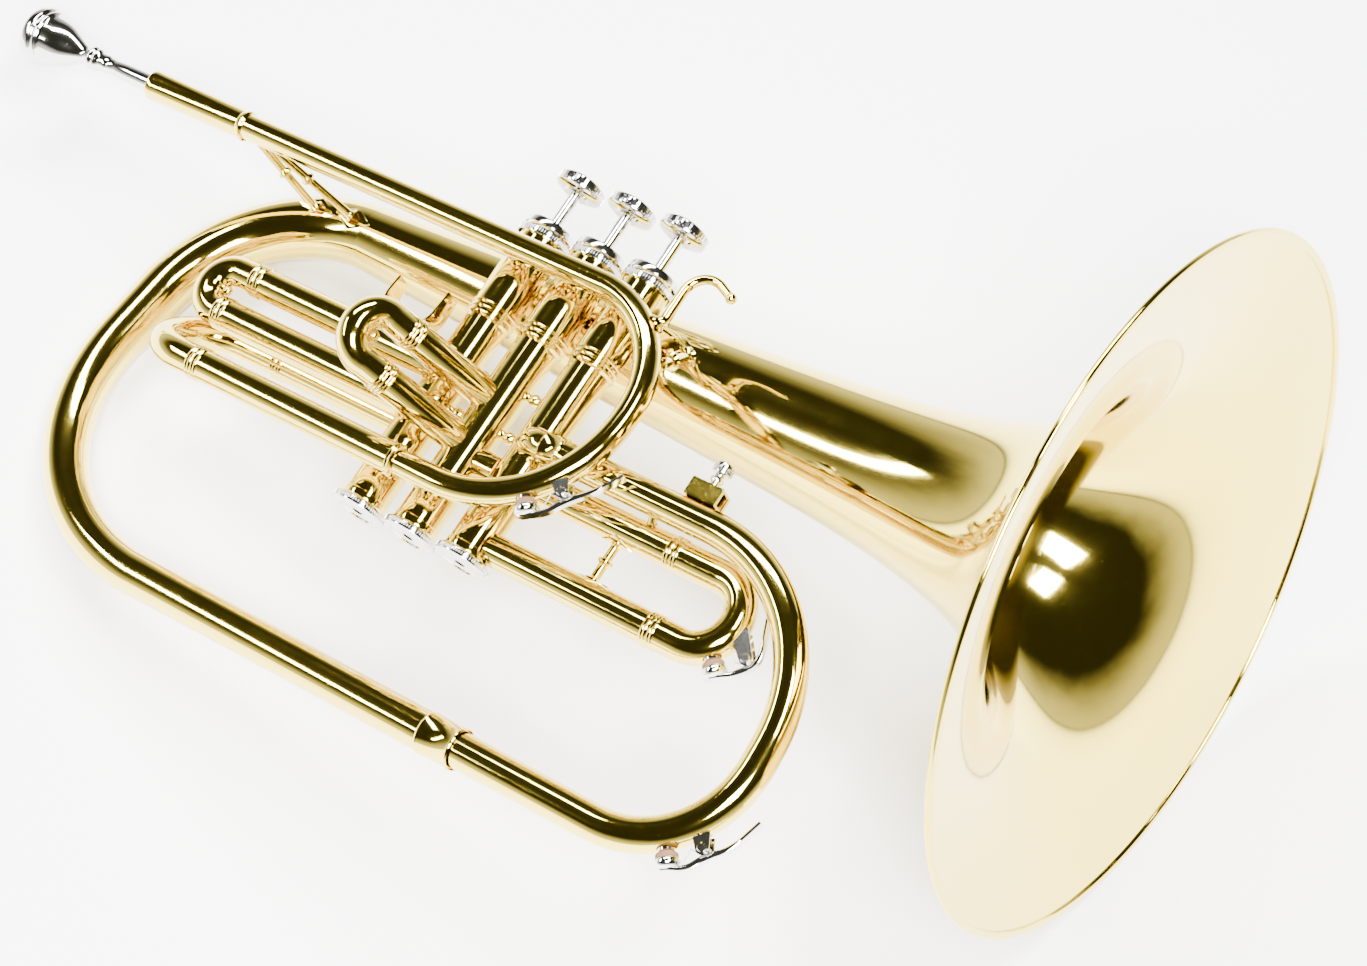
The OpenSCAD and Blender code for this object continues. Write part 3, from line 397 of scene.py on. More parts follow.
def around(radius, height, steps):
    """The points of a ring round the Z axis, or the one point of a ring with no radius."""
    if radius == 0:
        return [Vector((0, 0, height))]
    return [Vector((radius * math.cos(math.tau * k / steps), radius * math.sin(math.tau * k / steps), height))
            for k in range(steps)]


def solid(outlines):
    """One mesh from closed outlines turned about their axes: (profile, start, heading, steps)."""
    bm = bmesh.new()
    for profile, start, heading, steps in outlines:
        turn = UP.rotation_difference(heading).to_matrix()
        rings = [[bm.verts.new(start + turn @ point) for point in around(radius, height, steps)]
                 for radius, height in profile]
        for one, other in zip(rings, rings[1:] + rings[:1]):
            if len(one) == 1 and len(other) == 1:
                continue
            for k in range(steps):
                n = k + 1
                ring = [one[k % len(one)], one[n % len(one)], other[n % len(other)], other[k % len(other)]]
                bm.faces.new([v for i, v in enumerate(ring) if v not in ring[:i]])
    return closed(bm, "turned")


def smooth_profile(points, rounds=2):
    """A profile with its corners cut a few times, keeping its first and last points."""
    for _ in range(rounds):
        cut = [points[0]]
        for (r0, h0), (r1, h1) in zip(points, points[1:]):
            cut += [(r0 * 0.75 + r1 * 0.25, h0 * 0.75 + h1 * 0.25),
                    (r0 * 0.25 + r1 * 0.75, h0 * 0.25 + h1 * 0.75)]
        points = cut + [points[-1]]
    return points


def tubes(paths, finish):
    """Tubes along paths of (points, radii), where radii may be one number."""
    bm = bmesh.new()
    width = bm.verts.layers.float.new("pipe_radius")
    for points, radii in paths:
        last = None
        for k, point in enumerate(points):
            vert = bm.verts.new(point)
            vert[width] = radii[k] if hasattr(radii, "__len__") else radii
            if last is not None:
                bm.edges.new((last, vert))
            last = vert
    mesh = bpy.data.meshes.new("paths")
    bm.to_mesh(mesh)
    bm.free()
    return run_tree(mesh, "pipe", {"Sides": sizes().pipe_sides, "Finish": shop()["finish"][finish]})


def transformed(mesh, matrix):
    """The same mesh, moved by a matrix."""
    mesh.transform(matrix)
    return mesh


def knurls(centre, axis, radius, ridge, number):
    """A band of plated ridges centred on a point: ridge is (depth, width, height)."""
    blank = bpy.data.meshes.new("blank")
    mesh = run_tree(blank, "knurl", {"Count": number, "Radius": radius, "Ridge": ridge,
                                     "Finish": shop()["finish"]["plate"]})
    turn = UP.rotation_difference(axis).to_matrix().to_4x4()
    return transformed(mesh, Matrix.Translation(centre) @ turn)


def walk(start, heading, side, steps, gap=3.0):
    """Points of a path: steps of (straight, bend radius, bend angle), each bend towards side."""
    p, h, s = Vector(start), Vector(heading).normalized(), Vector(side).normalized()
    points = [p.copy()]
    for straight, bend, angle in steps:
        if straight > 0:
            count = max(1, int(straight / 25))
            points += [p + h * straight * k / count for k in range(1, count + 1)]
            p = p + h * straight
        if angle:
            turn = math.radians(angle)
            centre = p + s * bend
            count = max(6, int(bend * turn / gap))
            for k in range(1, count + 1):
                a = turn * k / count
                points.append(centre - s * bend * math.cos(a) + h * bend * math.sin(a))
            p = points[-1].copy()
            h, s = h * math.cos(turn) + s * math.sin(turn), s * math.cos(turn) - h * math.sin(turn)
    return points


def along(points):
    """How far along the path each point lies, from 0 to 1."""
    gone = [0.0]
    for one, other in zip(points, points[1:]):
        gone.append(gone[-1] + (other - one).length)
    return [g / gone[-1] for g in gone]


def finish_piece(name, meshes, body, finish, stands_for=(), sharp=32.0):
    """One object from several meshes in horn millimetres, riding on a body."""
    bm = bmesh.new()
    for mesh in meshes:
        bm.from_mesh(mesh)
    bmesh.ops.recalc_face_normals(bm, faces=bm.faces)
    bm.transform(HORN)
    mesh = bpy.data.meshes.new(name)
    bm.to_mesh(mesh)
    bm.free()
    mesh.materials.clear()
    mesh.materials.append(shop()["finish"][finish])
    mesh.polygons.foreach_set("material_index", [0] * len(mesh.polygons))
    mesh.polygons.foreach_set("use_smooth", [True] * len(mesh.polygons))
    mesh.set_sharp_from_angle(angle=math.radians(sharp))
    for attribute in [a for a in mesh.attributes if a.name == "pipe_radius"]:
        mesh.attributes.remove(attribute)
    obj = bpy.data.objects.new(name, mesh)
    bpy.context.collection.objects.link(obj)
    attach(obj, body)
    if stands_for:
        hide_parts(*stands_for)
    return obj


def collar(start, heading, inside, length, lift=0.55):
    """A soldered ring with rolled edges, for a tube of that radius."""
    o = inside + lift
    return ([(inside, 0), (inside + lift * 0.5, 0), (o, 0.3), (o + 0.12, 0.7), (o, 1.1), (o - 0.18, 1.4),
             (o - 0.18, length - 1.4), (o, length - 1.1), (o + 0.12, length - 0.7), (o, length - 0.3),
             (inside + lift * 0.5, length), (inside, length)], Vector(start), Vector(heading), 64)


def strap(line, widths, thickness):
    """A bent strip with rounded edges, through points of the XZ plane."""
    if not hasattr(thickness, "__len__"):
        thickness = [thickness] * len(line)
    bm = bmesh.new()
    rows = []
    for k, (x, z) in enumerate(line):
        ahead, behind = line[min(k + 1, len(line) - 1)], line[max(k - 1, 0)]
        out = Vector((ahead[1] - behind[1], 0, behind[0] - ahead[0])).normalized()
        half, edge = widths[k] / 2, thickness[k] / 2
        section = [(-half, -edge * 0.4), (-half + 0.35, -edge), (half - 0.35, -edge), (half, -edge * 0.4),
                   (half, edge * 0.4), (half - 0.35, edge), (-half + 0.35, edge), (-half, edge * 0.4)]
        rows.append([bm.verts.new(Vector((x, across, z)) + out * lift) for across, lift in section])
    for one, other in zip(rows, rows[1:]):
        for k in range(8):
            bm.faces.new([one[k], one[(k + 1) % 8], other[(k + 1) % 8], other[k]])
    bm.faces.new(rows[0])
    bm.faces.new(rows[-1])
    return closed(bm, "strap")


def flange(place, way, out, radius, long=7.0, wide=5.0):
    """A diamond foot wrapped on a tube: way runs along the tube, out points from its axis to the foot."""
    bm = bmesh.new()
    place, way, out = Vector(place), Vector(way).normalized(), Vector(out).normalized()
    side = way.cross(out)
    layers = []
    for lift in (0.5, -0.3):
        rows = []
        for i in range(13):
            u = i / 6 - 1
            reach = (wide * (1 - abs(u)) + 0.35) / radius
            row = []
            for v in range(-4, 5):
                spoke = out * math.cos(reach * v / 4) + side * math.sin(reach * v / 4)
                rounding = 0.35 if abs(v) == 4 and lift > 0 else 0
                row.append(bm.verts.new(place + way * long * u + spoke * (radius + lift - rounding)))
            rows.append(row)
        layers.append(rows)
    top, under = layers
    for rows in layers:
        for one, other in zip(rows, rows[1:]):
            for k in range(8):
                bm.faces.new((one[k], one[k + 1], other[k + 1], other[k]))
    for k in range(12):
        for v in (0, 8):
            bm.faces.new((top[k][v], top[k + 1][v], under[k + 1][v], under[k][v]))
    for row in (0, 12):
        for k in range(8):
            bm.faces.new((top[row][k], top[row][k + 1], under[row][k + 1], under[row][k]))
    return closed(bm, "flange")


def ball(centre, radius):
    """A ball."""
    profile = [(radius * math.sin(math.pi * k / 16), -radius * math.cos(math.pi * k / 16)) for k in range(17)]
    profile[0], profile[-1] = (0, -radius), (0, radius)
    return (profile, Vector(centre), UP, 32)


def knob(start, heading, stem, radius):
    """A ball pull on a short stem with a small foot."""
    profile = [(0, -0.5), (2.4, -0.5), (2.2, 0.3), (1.2, 0.9), (1.1, stem - radius * 0.85)]
    profile += [(radius * math.sin(a), stem - radius * math.cos(a))
                for a in [math.pi * k / 14 for k in range(3, 14)]]
    profile += [(0, stem + radius)]
    return (profile, Vector(start), Vector(heading).normalized(), 32)


def stay(start, end, radius, foot=1.9):
    """A round rod with a bead in the middle and a flared foot at each end."""
    start, end = Vector(start), Vector(end)
    length = (end - start).length
    half = length / 2
    rise = min(1.6, length / 6)
    side = [(0, 0), (radius * foot, 0), (radius * foot, 0.25), (radius * 1.25, rise * 0.6), (radius, rise),
            (radius, half - 1.6), (radius * 1.35, half - 1.1), (radius * 1.7, half - 0.4)]
    if half < 4:
        side = side[:5]
    profile = side + [(r, length - h) for r, h in reversed(side)]
    return (profile, start, (end - start).normalized(), 32)


# ------------------------------------------------------------------ shapes shared by pieces
BELL_AT, BELL_LONG = Vector((281, 33, 54)), 373  # middle of the mouth, length behind it
LOOP_SIDE, LOOP_UP, TAIL_UP = -11.2, -8.2, -124.0  # the loop's start, and the height of the bell tail's start
LOOP_RADIUS, TAIL_RADIUS = 6.2, 8.1  # at their narrow ends
SIDE_1, SIDE_T = -11.0, 8.0  # how far across the first slide and the tuning slide's return lie
FIRST, SECOND, THIRD = (2.8, -15.8), (2.0, -18.6), (-20.3, -50.5)  # heights of each slide's two tubes
LEAD = (-23.0, 57.0, -42.0)  # the leadpipe's place across, and its upper and lower heights
RETURN_Z = -18.5
SECOND_WAY = Vector((-math.cos(math.radians(55)), -math.sin(math.radians(55)), 0))
SEAT = 6.6  # radius of the ball where a sleeve meets its casing
LEGS = {"tuning": (94, 77), "first_slide": (88.5, 88.5), "second_slide": (42.5, 42.5),
        "third_slide": (81, 81)}  # lengths of each slide's two inner legs
LEG_PLAY = 0.575  # how much smaller in radius a leg is than its sleeve


def bell_taper(d):
    """Outer radius of the bell's straight taper, that far behind the mouth."""
    return 33.5 - 0.052 * d


def bell_radius(d):
    """Outer radius of the bell: the taper, and two flares that die away behind the mouth."""
    edge = half_mm(sizes().bell_diameter) - 3.3
    return bell_taper(d) + 65 * math.exp(-d / 35.6) + (edge - 98.5) * math.exp(-d / 9.7)


class PieceOperator:
    """What every piece's operator shares."""
    bl_options = {"REGISTER", "UNDO"}

    def execute(self, context):
        self.make()
        return {"FINISHED"}


class HORN_OT_bell(PieceOperator, bpy.types.Operator):
    """Spins the bell and its wired rim."""
    bl_idname = "horn.bell"
    bl_label = "Bell"

    def make(self):
        stations = [BELL_LONG * (k / 90) ** 2 for k in range(91)]
        outside = [(bell_radius(d), -d) for d in stations]
        inside = [(bell_radius(d) - 0.6, -d) for d in reversed(stations)]
        flare = solid([(outside + inside, BELL_AT, AHEAD, 160)])
        finish_piece("bell_flare", [flare], "horn", "brass", ["bell"], 60)
        wire = 1.6
        ring = half_mm(sizes().bell_diameter) - wire
        bead = [(ring + wire * math.cos(a), min(wire * math.sin(a), wire - 0.5))
                for a in [math.tau * k / 24 for k in range(24)]]
        rim = solid([(bead, BELL_AT, AHEAD, 160)])
        finish_piece("bell_rim_wire", [rim], "horn", "brass", ["bell_rim"], 60)


class HORN_OT_big_loop(PieceOperator, bpy.types.Operator):
    """Sweeps the widening tube from the third valve, round the loop and crook, to the bell."""
    bl_idname = "horn.big_loop"
    bl_label = "Loop and bell tail"

    def make(self):
        elbow = walk((VALVES[2], -3.2, LOOP_UP), RIGHT, AHEAD, [(0, 8, 90), (6.4, 0, 0)], 1.2)
        elbow = [p for p in elbow if p.y < -6.5 or p.x > 60.5]
        finish_piece("loop_elbow_tube", [tubes([(elbow, LOOP_RADIUS)], "brass")], "horn", "brass",
                     ["loop_elbow"])
        near, far = 65, 45  # radii of the loop's two bends
        lean = Vector((0, -LOOP_SIDE, TAIL_UP - LOOP_UP))
        loop = walk((66.6, LOOP_SIDE, LOOP_UP), AHEAD, lean, [
            (74.4, near, 90), (lean.length - near - far, far, 90), (70.8, 0, 0)])
        radii = [LOOP_RADIUS + 1.1 * t for t in along(loop)]
        finish_piece("loop_pipe", [tubes([(loop, radii)], "brass")], "horn", "brass", ["loop_tube"])
        near, far = 89, 66  # radii of the bell tail's two bends
        lean = Vector((0, BELL_AT.y, BELL_AT.z - TAIL_UP))
        tail = walk((90, 0, TAIL_UP), BACK, lean, [
            (159, near, 90), (lean.length - near - far, far, 90)])
        end = bell_taper(BELL_LONG)
        radii = [TAIL_RADIUS + (end - TAIL_RADIUS) * t ** 2.4 for t in along(tail)]
        finish_piece("bell_tail_pipe", [tubes([(tail, radii)], "brass")], "horn", "brass", ["bell_tail"])
        rings = [collar((62, LOOP_SIDE, LOOP_UP), AHEAD, LOOP_RADIUS + 0.02, 9),
                 collar((82, 0, TAIL_UP), AHEAD, TAIL_RADIUS + 0.02, 16, 0.4),
                 collar((16, *LEAD[::2]), AHEAD, 5.4, 3, 1.5)]
        finish_piece("soldered_ferrules", [solid(rings)], "horn", "brass", ["tube_ferrules"])


class HORN_OT_mouthpipe(PieceOperator, bpy.types.Operator):
    """Turns the mouthpiece and receiver and bends the leadpipe."""
    bl_idname = "horn.mouthpipe"
    bl_label = "Mouthpiece and leadpipe"

    def make(self):
        y, high, low = LEAD
        at = Vector((-190, y, high))
        rim = -68.5
        outer = [(3.45, 27), (3.9, 0), (3.7, rim + 48), (3.5, rim + 47), (3.5, rim + 43),
                 (3.9, rim + 42), (3.95, rim + 37.6), (4.7, rim + 36.6), (4.9, rim + 35.9),
                 (4.3, rim + 35.3), (4.4, rim + 34.7), (5.1, rim + 33.9), (5.1, rim + 32.9),
                 (4.2, rim + 31.6), (3.7, rim + 30), (4.3, rim + 26.8), (6.2, rim + 23),
                 (8.7, rim + 18.8), (10.3, rim + 14), (11.0, rim + 9.2), (11.5, rim + 8.6),
                 (12.1, rim + 8.2), (12.1, rim + 7), (11.5, rim + 6.5), (11.6, rim + 5.9),
                 (12.6, rim + 5.2), (12.75, rim + 4.4), (12.75, rim + 2.2), (12.2, rim + 0.8),
                 (10.8, rim), (9.6, rim + 0.3), (8.75, rim + 2.4), (7.6, rim + 8.6), (4.2, rim + 16),
                 (1.9, rim + 21), (1.9, rim + 26), (2.6, 27)]
        outer = smooth_profile(outer, 1)
        finish_piece("cup_mouthpiece", [solid([(outer, at, AHEAD, 72)])], "mouthpiece", "plate",
                     ["mouthpiece"], 40)
        pipe = [(3.93, 0), (6.0, 0), (6.35, 0.5), (6.35, 2.6), (6.2, 3.2), (5.95, 51), (6.35, 51.6),
                (6.4, 53.2), (5.8, 54), (5.4, 54), (5.4, 32), (4.9, 32), (3.48, 27)]
        finish_piece("receiver_tube", [solid([(pipe, at, AHEAD, 64)])], "horn", "brass",
                     ["mouthpiece_receiver"])
        lead = walk((-158, y, high), AHEAD, -UP, [(206, 43, 90), (1, 55, 90), (26, 0, 0)])
        finish_piece("leadpipe_tube", [tubes([(lead, half_mm(sizes().leadpipe_diameter))], "brass")],
                     "horn", "brass", ["leadpipe"])


def slide_pieces(label, body, sleeves, bow, extras=(), seats=()):
    """One slide: fixed sleeves given as (from, heading, length), the bow and its inner legs."""
    r = half_mm(sizes().sleeve_diameter)
    paths = [([Vector(a), Vector(a) + Vector(h) * length], r) for a, h, length in sleeves]
    rims = [collar(Vector(a) + Vector(h) * (length - 2.8), h, r - 0.3, 2.8, 0.6) for a, h, length in sleeves]
    finish_piece(label + "_fixed_sleeves", [tubes(paths, "brass"), solid(rims + list(seats))],
                 "horn", "brass", [label + "_sleeves"])
    points, bend_start, bend_end = bow
    heading_in = (points[1] - points[0]).normalized()
    heading_out = (points[-2] - points[-1]).normalized()
    rings = [collar(points[0] + heading_in * 0.3, heading_in, r - 0.25, 2.8, 0.5),
             collar(points[-1] + heading_out * 0.3, heading_out, r - 0.25, 2.8, 0.5)]
    finish_piece(label + "_bow_tube", [tubes([(points, r)], "brass"), solid(rings + list(extras))],
                 body, "brass", [label + "_bow"])
    one, other = LEGS[label]
    legs = [([bend_start, bend_start - heading_in * one], r - LEG_PLAY),
            ([bend_end, bend_end - heading_out * other], r - LEG_PLAY)]
    finish_piece(label + "_inner_legs", [tubes(legs, "nickel")], body, "nickel", [label + "_legs"])


class HORN_OT_slides(PieceOperator, bpy.types.Operator):
    """Builds the main tuning slide and the three valve slides."""
    bl_idname = "horn.slides"
    bl_label = "Slides"

    def make(self):
        y, _, low = LEAD
        side = Vector((0, SIDE_T - y, RETURN_Z - low))
        bow = walk((-85.45, y, low), BACK, side, [(10.55, side.length / 2, 180), (21.65, 0, 0)], 2)
        slide_pieces("tuning", "tuning_slide",
                     [((16, y, low), BACK, 101.4), ((-5, SIDE_T, RETURN_Z), BACK, 69.3)],
                     (bow, Vector((-95.8, y, low)), Vector((-95.8, SIDE_T, RETURN_Z))),
                     seats=[ball((-5, SIDE_T, RETURN_Z), SEAT)])
        up, down = FIRST
        bow = walk((-99.05, SIDE_1, down), BACK, UP, [(4.95, (up - down) / 2, 180), (10.95, 0, 0)], 1.2)
        slide_pieces("first_slide", "first_slide",
                     [((-5, SIDE_1, up), BACK, 88), ((-5, SIDE_1, down), BACK, 94)],
                     (bow, Vector((-103.8, SIDE_1, down)), Vector((-103.8, SIDE_1, up))),
                     [knob((-106.7, SIDE_1, (up + down) / 2), AHEAD, 1.6, 2.1)],
                     [ball((-5, SIDE_1, up), SEAT), ball((-5, SIDE_1, down), SEAT)])
        up, down = SECOND
        way, root = SECOND_WAY, Vector((26, 0, 0))
        bow = walk(root + way * 46.05 + UP * down, way, UP,
                   [(9.95, (up - down) / 2, 180), (9.95, 0, 0)], 1.2)
        slide_pieces("second_slide", "second_slide",
                     [(root + way * 7 + UP * up, way, 39), (root + way * 7 + UP * down, way, 39)],
                     (bow, root + way * 55.8 + UP * down, root + way * 55.8 + UP * up),
                     [knob(root + way * 59.7 + UP * (up + down) / 2, -way, 1.6, 2.3)],
                     [ball(root + way * 9.5 + UP * up, SEAT), ball(root + way * 9.5 + UP * down, SEAT)])
        up, down = THIRD
        bow = walk((129.55, 0, up), AHEAD, -UP, [(20.95, (up - down) / 2, 180), (11.45, 0, 0)], 1.5)
        slide_pieces("third_slide", "third_slide",
                     [((60.9, 0, up), AHEAD, 68.6), ((60.9, 0, down), AHEAD, 78.1)],
                     (bow, Vector((150.3, 0, up)), Vector((150.3, 0, down))))


class HORN_OT_valve_block(PieceOperator, bpy.types.Operator):
    """Turns the three casings, the tubes between them and their caps."""
    bl_idname = "horn.valve_block"
    bl_label = "Valve casings and caps"

    def make(self):
        for number, x in enumerate(VALVES, 1):
            casing = [(8.35, -57.2), (9.3, -57.2), (9.45, -56.6), (9.45, -54.4), (9.15, -54), (9.15, 29.8)]
            for z in (30.4, 32.8, 35.2):
                casing += [(9.9, z), (10.3, z + 0.35), (10.4, z + 0.75), (10.3, z + 1.15), (9.85, z + 1.5)]
            casing += [(9.9, 37.4), (10, 38.4), (10, 76), (8.35, 76)]
            finish_piece(f"valve_casing_tube_{number}", [solid([(casing, Vector((x, 0, 0)), UP, 72)])],
                         "horn", "brass", [f"valve_casing_{number}"])
        links = [([Vector((8.4, 0, -36)), Vector((17.6, 0, -36))], 5.9),
                 ([Vector((34.4, 0, -22)), Vector((43.6, 0, -22))], 5.9)]
        bead = [(0, 9), (2.1, 9), (1.6, 9.8), (1.5, 10.6), (2.3, 11.6), (2.7, 13), (2.3, 14.4), (1.5, 15.4),
                (1.6, 16.2), (2.1, 17), (0, 17)]
        beads = [(bead, Vector((x, 0, z)), AHEAD, 32) for x in VALVES[:2] for z in (10, -8)]
        finish_piece("casing_links", [tubes(links, "brass"), solid(beads)], "horn", "brass",
                     ["casing_bridges"])
        r = half_mm(sizes().cap_diameter)
        number = sizes().knurls
        ridge = math.tau * r / number * 0.5
        tops, bottoms = [], []
        for x in VALVES:
            top = [(2.68, 76.1), (10.05, 76.1), (10.05, 70), (r - 0.5, 70), (r - 0.35, 70.3),
                   (r - 0.35, 72.6), (r - 0.9, 73), (r - 1.2, 73.5), (r - 0.9, 74), (r - 0.5, 74.4),
                   (r - 0.5, 76.6), (r - 1.0, 77.5), (r - 3.0, 78.2), (r - 5.4, 78.5), (4.6, 78.85),
                   (3.4, 78.85), (3.2, 78.5), (2.68, 78.5)]
            tops += [solid([(top, Vector((x, 0, 0)), UP, 96)]),
                     knurls(Vector((x, 0, 71.45)), UP, r - 0.3, (0.5, ridge, 2.1), number)]
            bottom = [(8.3, -57.3), (8.3, -54.7), (6.75, -54.7), (6.75, -60.0), (2.2, -60.2), (2.2, -61.0),
                      (3.0, -61.25), (r - 3.4, -60.6), (r - 2.8, -61.2), (r - 1.4, -61.2), (r - 0.5, -60.7),
                      (r - 0.4, -60.2), (r - 0.4, -58.4), (r - 0.7, -57.8), (r - 1.2, -57.3), (9.3, -57.26)]
            bottoms += [solid([(bottom, Vector((x, 0, 0)), UP, 96)]),
                        knurls(Vector((x, 0, -59.3)), UP, r - 0.32, (0.5, ridge, 1.8), number)]
        finish_piece("top_valve_caps", tops, "horn", "plate", ["top_caps"])
        finish_piece("bottom_valve_caps", bottoms, "horn", "plate", ["bottom_caps"])


class HORN_OT_valve_action(PieceOperator, bpy.types.Operator):
    """Turns the stems and finger buttons that ride on the pistons."""
    bl_idname = "horn.valve_action"
    bl_label = "Stems and buttons"

    def make(self):
        r = half_mm(sizes().button_diameter)
        for number, x in enumerate(VALVES, 1):
            at = Vector((x, 0, 94.35))
            stem = [(0, -25.9), (2.0, -25.9), (2.0, -22), (2.6, -21.8), (2.6, -0.1), (0, -0.1)]
            finish_piece(f"stem_rod_{number}", [solid([(stem, at, UP, 40)])], f"valve_{number}", "plate",
                         [f"valve_stem_{number}"])
            side = [(0, 0), (5.0, 0), (5.8, 1.0), (r - 2.0, 1.4), (r - 0.9, 1.8), (r - 0.35, 2.1),
                    (r - 0.2, 2.5), (r - 0.55, 2.8), (r - 0.55, 5.9), (r - 0.9, 6.5), (r - 1.8, 7.0),
                    (r - 2.9, 7.35), (r - 3.5, 7.1), (r - 3.9, 6.6), (0, 6.5)]
            edge = knurls(at + UP * 4.35, UP, r - 0.5, (0.6, 0.9, 2.9), 40)
            finish_piece(f"button_disc_{number}", [solid([(side, at, UP, 72)]), edge],
                         f"valve_{number}", "plate", [f"finger_button_{number}"])


class HORN_OT_fittings(PieceOperator, bpy.types.Operator):
    """Makes the thumb saddle, finger hook, thumbscrew and stays."""
    bl_idname = "horn.fittings"
    bl_label = "Hand fittings and stays"

    def make(self):
        base = FIRST[0] + 6.65
        arc = [(-25 + 12 * math.cos(math.radians(a)), base + 12.5 + 12 * math.sin(math.radians(a)))
               for a in range(180, 361, 6)]
        line = smooth_profile([(-37, base + 19.4)] + arc + [(-13, base + 21.4)], 1)
        widths = [8.4 + 2.4 * min(1, 6 * t, 6 * (1 - t)) for t in along([Vector((x, 0, z)) for x, z in line])]
        saddle = transformed(strap(line, widths, 1.0), Matrix.Translation((0, SIDE_1, 0)))
        finish_piece("thumb_saddle_strip", [saddle], "horn", "brass", ["thumb_saddle"])
        angle = math.radians(50)
        out = Vector((math.cos(angle), 0, math.sin(angle)))
        foot = Vector((48, -23, 14)) + out * 48.5
        hook = walk(foot + out * 3, UP, AHEAD, [(14, 9, 115), (7, 0, 0)], 1.0)
        widths = [2.3 - 0.5 * t for t in along(hook)]
        root = [(0, -0.1), (4.2, -0.1), (4.0, 0.5), (2.9, 1.4), (2.3, 3), (2.5, 4), (1.6, 5), (0, 5.2)]
        parts = [(root, foot, out, 32), ball(hook[-1], 2.3)]
        finish_piece("little_finger_hook", [tubes([(hook, widths)], "brass"), solid(parts)], "horn", "brass",
                     ["finger_hook"])
        at = Vector((132, LOOP_SIDE, 1.75))
        head = [(0, 0), (1.75, 0), (1.75, 5.8), (2.6, 6), (2.9, 6.8), (2.6, 7.8), (2.0, 8.6), (2.0, 9.4),
                (3.5, 9.7), (3.8, 10.2), (3.8, 13.4), (3.4, 14.1), (2.6, 14.4), (0, 14.6)]
        edge = knurls(at + UP * 11.8, UP, 3.8, (0.5, 0.42, 3.0), 30)
        finish_piece("lyre_thumbscrew", [solid([(head, at, UP, 48)]), edge], "lyre_screw", "plate",
                     ["lyre_screw"])
        skin = [BELL_AT.y - bell_radius(BELL_AT.x - x) for x in (0, 26, 80)]  # the bell's near side
        rods = [stay((105, 0, -43.85), (105, 0, -26.95), 1.9),
                stay((0, -10.05, 57), (0, -17.55, 57), 2.2, 1.2),
                stay((52, -10.05, 57), (52, -17.55, 57), 2.2, 1.2),
                stay((26, -9.2, -42), (26, -17.55, -42), 2.2, 1.2),
                stay((0, 10.05, 54), (0, skin[0] - 0.3, 54), 2.4, 1.2),
                stay((26, 10.05, 54), (26, skin[1] - 0.3, 54), 2.4, 1.2),
                stay((-136, -16.6, 56.5), (-116, 17.6, 51), 1.8, 1.9),
                stay((-130.5, -16.6, 56.5), (-98, 17.6, 54), 1.8, 1.9),
                stay((85, -16.6, 38), (80, skin[2] - 1.6, 55), 2.2, 1.7),
                stay((115, -8.0, -10.7), (115, -4.2, -15.1), 1.8, 1.1)]
        feet = [flange((105, 0, THIRD[0]), AHEAD, -UP, SEAT),
                flange((105, 0, THIRD[1]), AHEAD, UP, SEAT),
                flange((-116, *BELL_AT.yz), AHEAD, (0, -1, -0.2), 14.2, 9, 5),
                flange((-98, *BELL_AT.yz), AHEAD, RIGHT, 14.2, 9, 5),
                flange((-136, LEAD[0], LEAD[1]), AHEAD, LEFT, 5.75, 6, 4),
                flange((85, LEAD[0], 41), (0.9, 0, -0.5), LEFT, 5.45, 6, 4),
                flange((26, LEAD[0], LEAD[2]), AHEAD, LEFT, 5.4, 5, 4)]
        finish_piece("stays", [solid(rods), *feet], "horn", "brass", ["brace_rods"])


KEYS = (
    # middle of the tube's bend x, y, z; bend radius; tube radius; angle of the key round the bend;
    # the pin's place ahead of the cork and its height over the tube; the finger end from the pin; body
    (36.0, -23.0, 13.0, 55.0, 5.4, -50, 15.0, 4.2, (24.0, -1.9), "horn"),
    (150.5, 0.0, -35.4, 15.1, 6.6, -45, 12.7, 9.0, (11.0, -14.3), "third_slide"),
    (161.0, -0.9, -79.0, 45.0, 7.3, -53, 14.0, 4.2, (21.5, -7.1), "horn"),
)


def cheek(x, foot, z, side):
    """One cheek of a water key's saddle, from its foot on the tube up round the pin."""
    bm = bmesh.new()
    top = [(x - 2.6 * math.cos(math.radians(a)), z + 2.6 * math.sin(math.radians(a)))
           for a in range(20, 161, 20)]
    edge = [(x - 3.4, foot), (x - 2.6, z), *top, (x + 2.6, z), (x + 3.4, foot)]
    inner, outer = [[bm.verts.new((px, side * y, pz)) for px, pz in edge] for y in (2.5, 3.6)]
    for k in range(len(edge)):
        n = (k + 1) % len(edge)
        bm.faces.new((inner[k], inner[n], outer[n], outer[k]))
    bm.faces.new(inner)
    bm.faces.new(outer)
    bmesh.ops.recalc_face_normals(bm, faces=bm.faces)
    bmesh.ops.bevel(bm, geom=bm.edges[:], offset=0.18, segments=2, affect="EDGES", clamp_overlap=True)
    return closed(bm, "cheek")


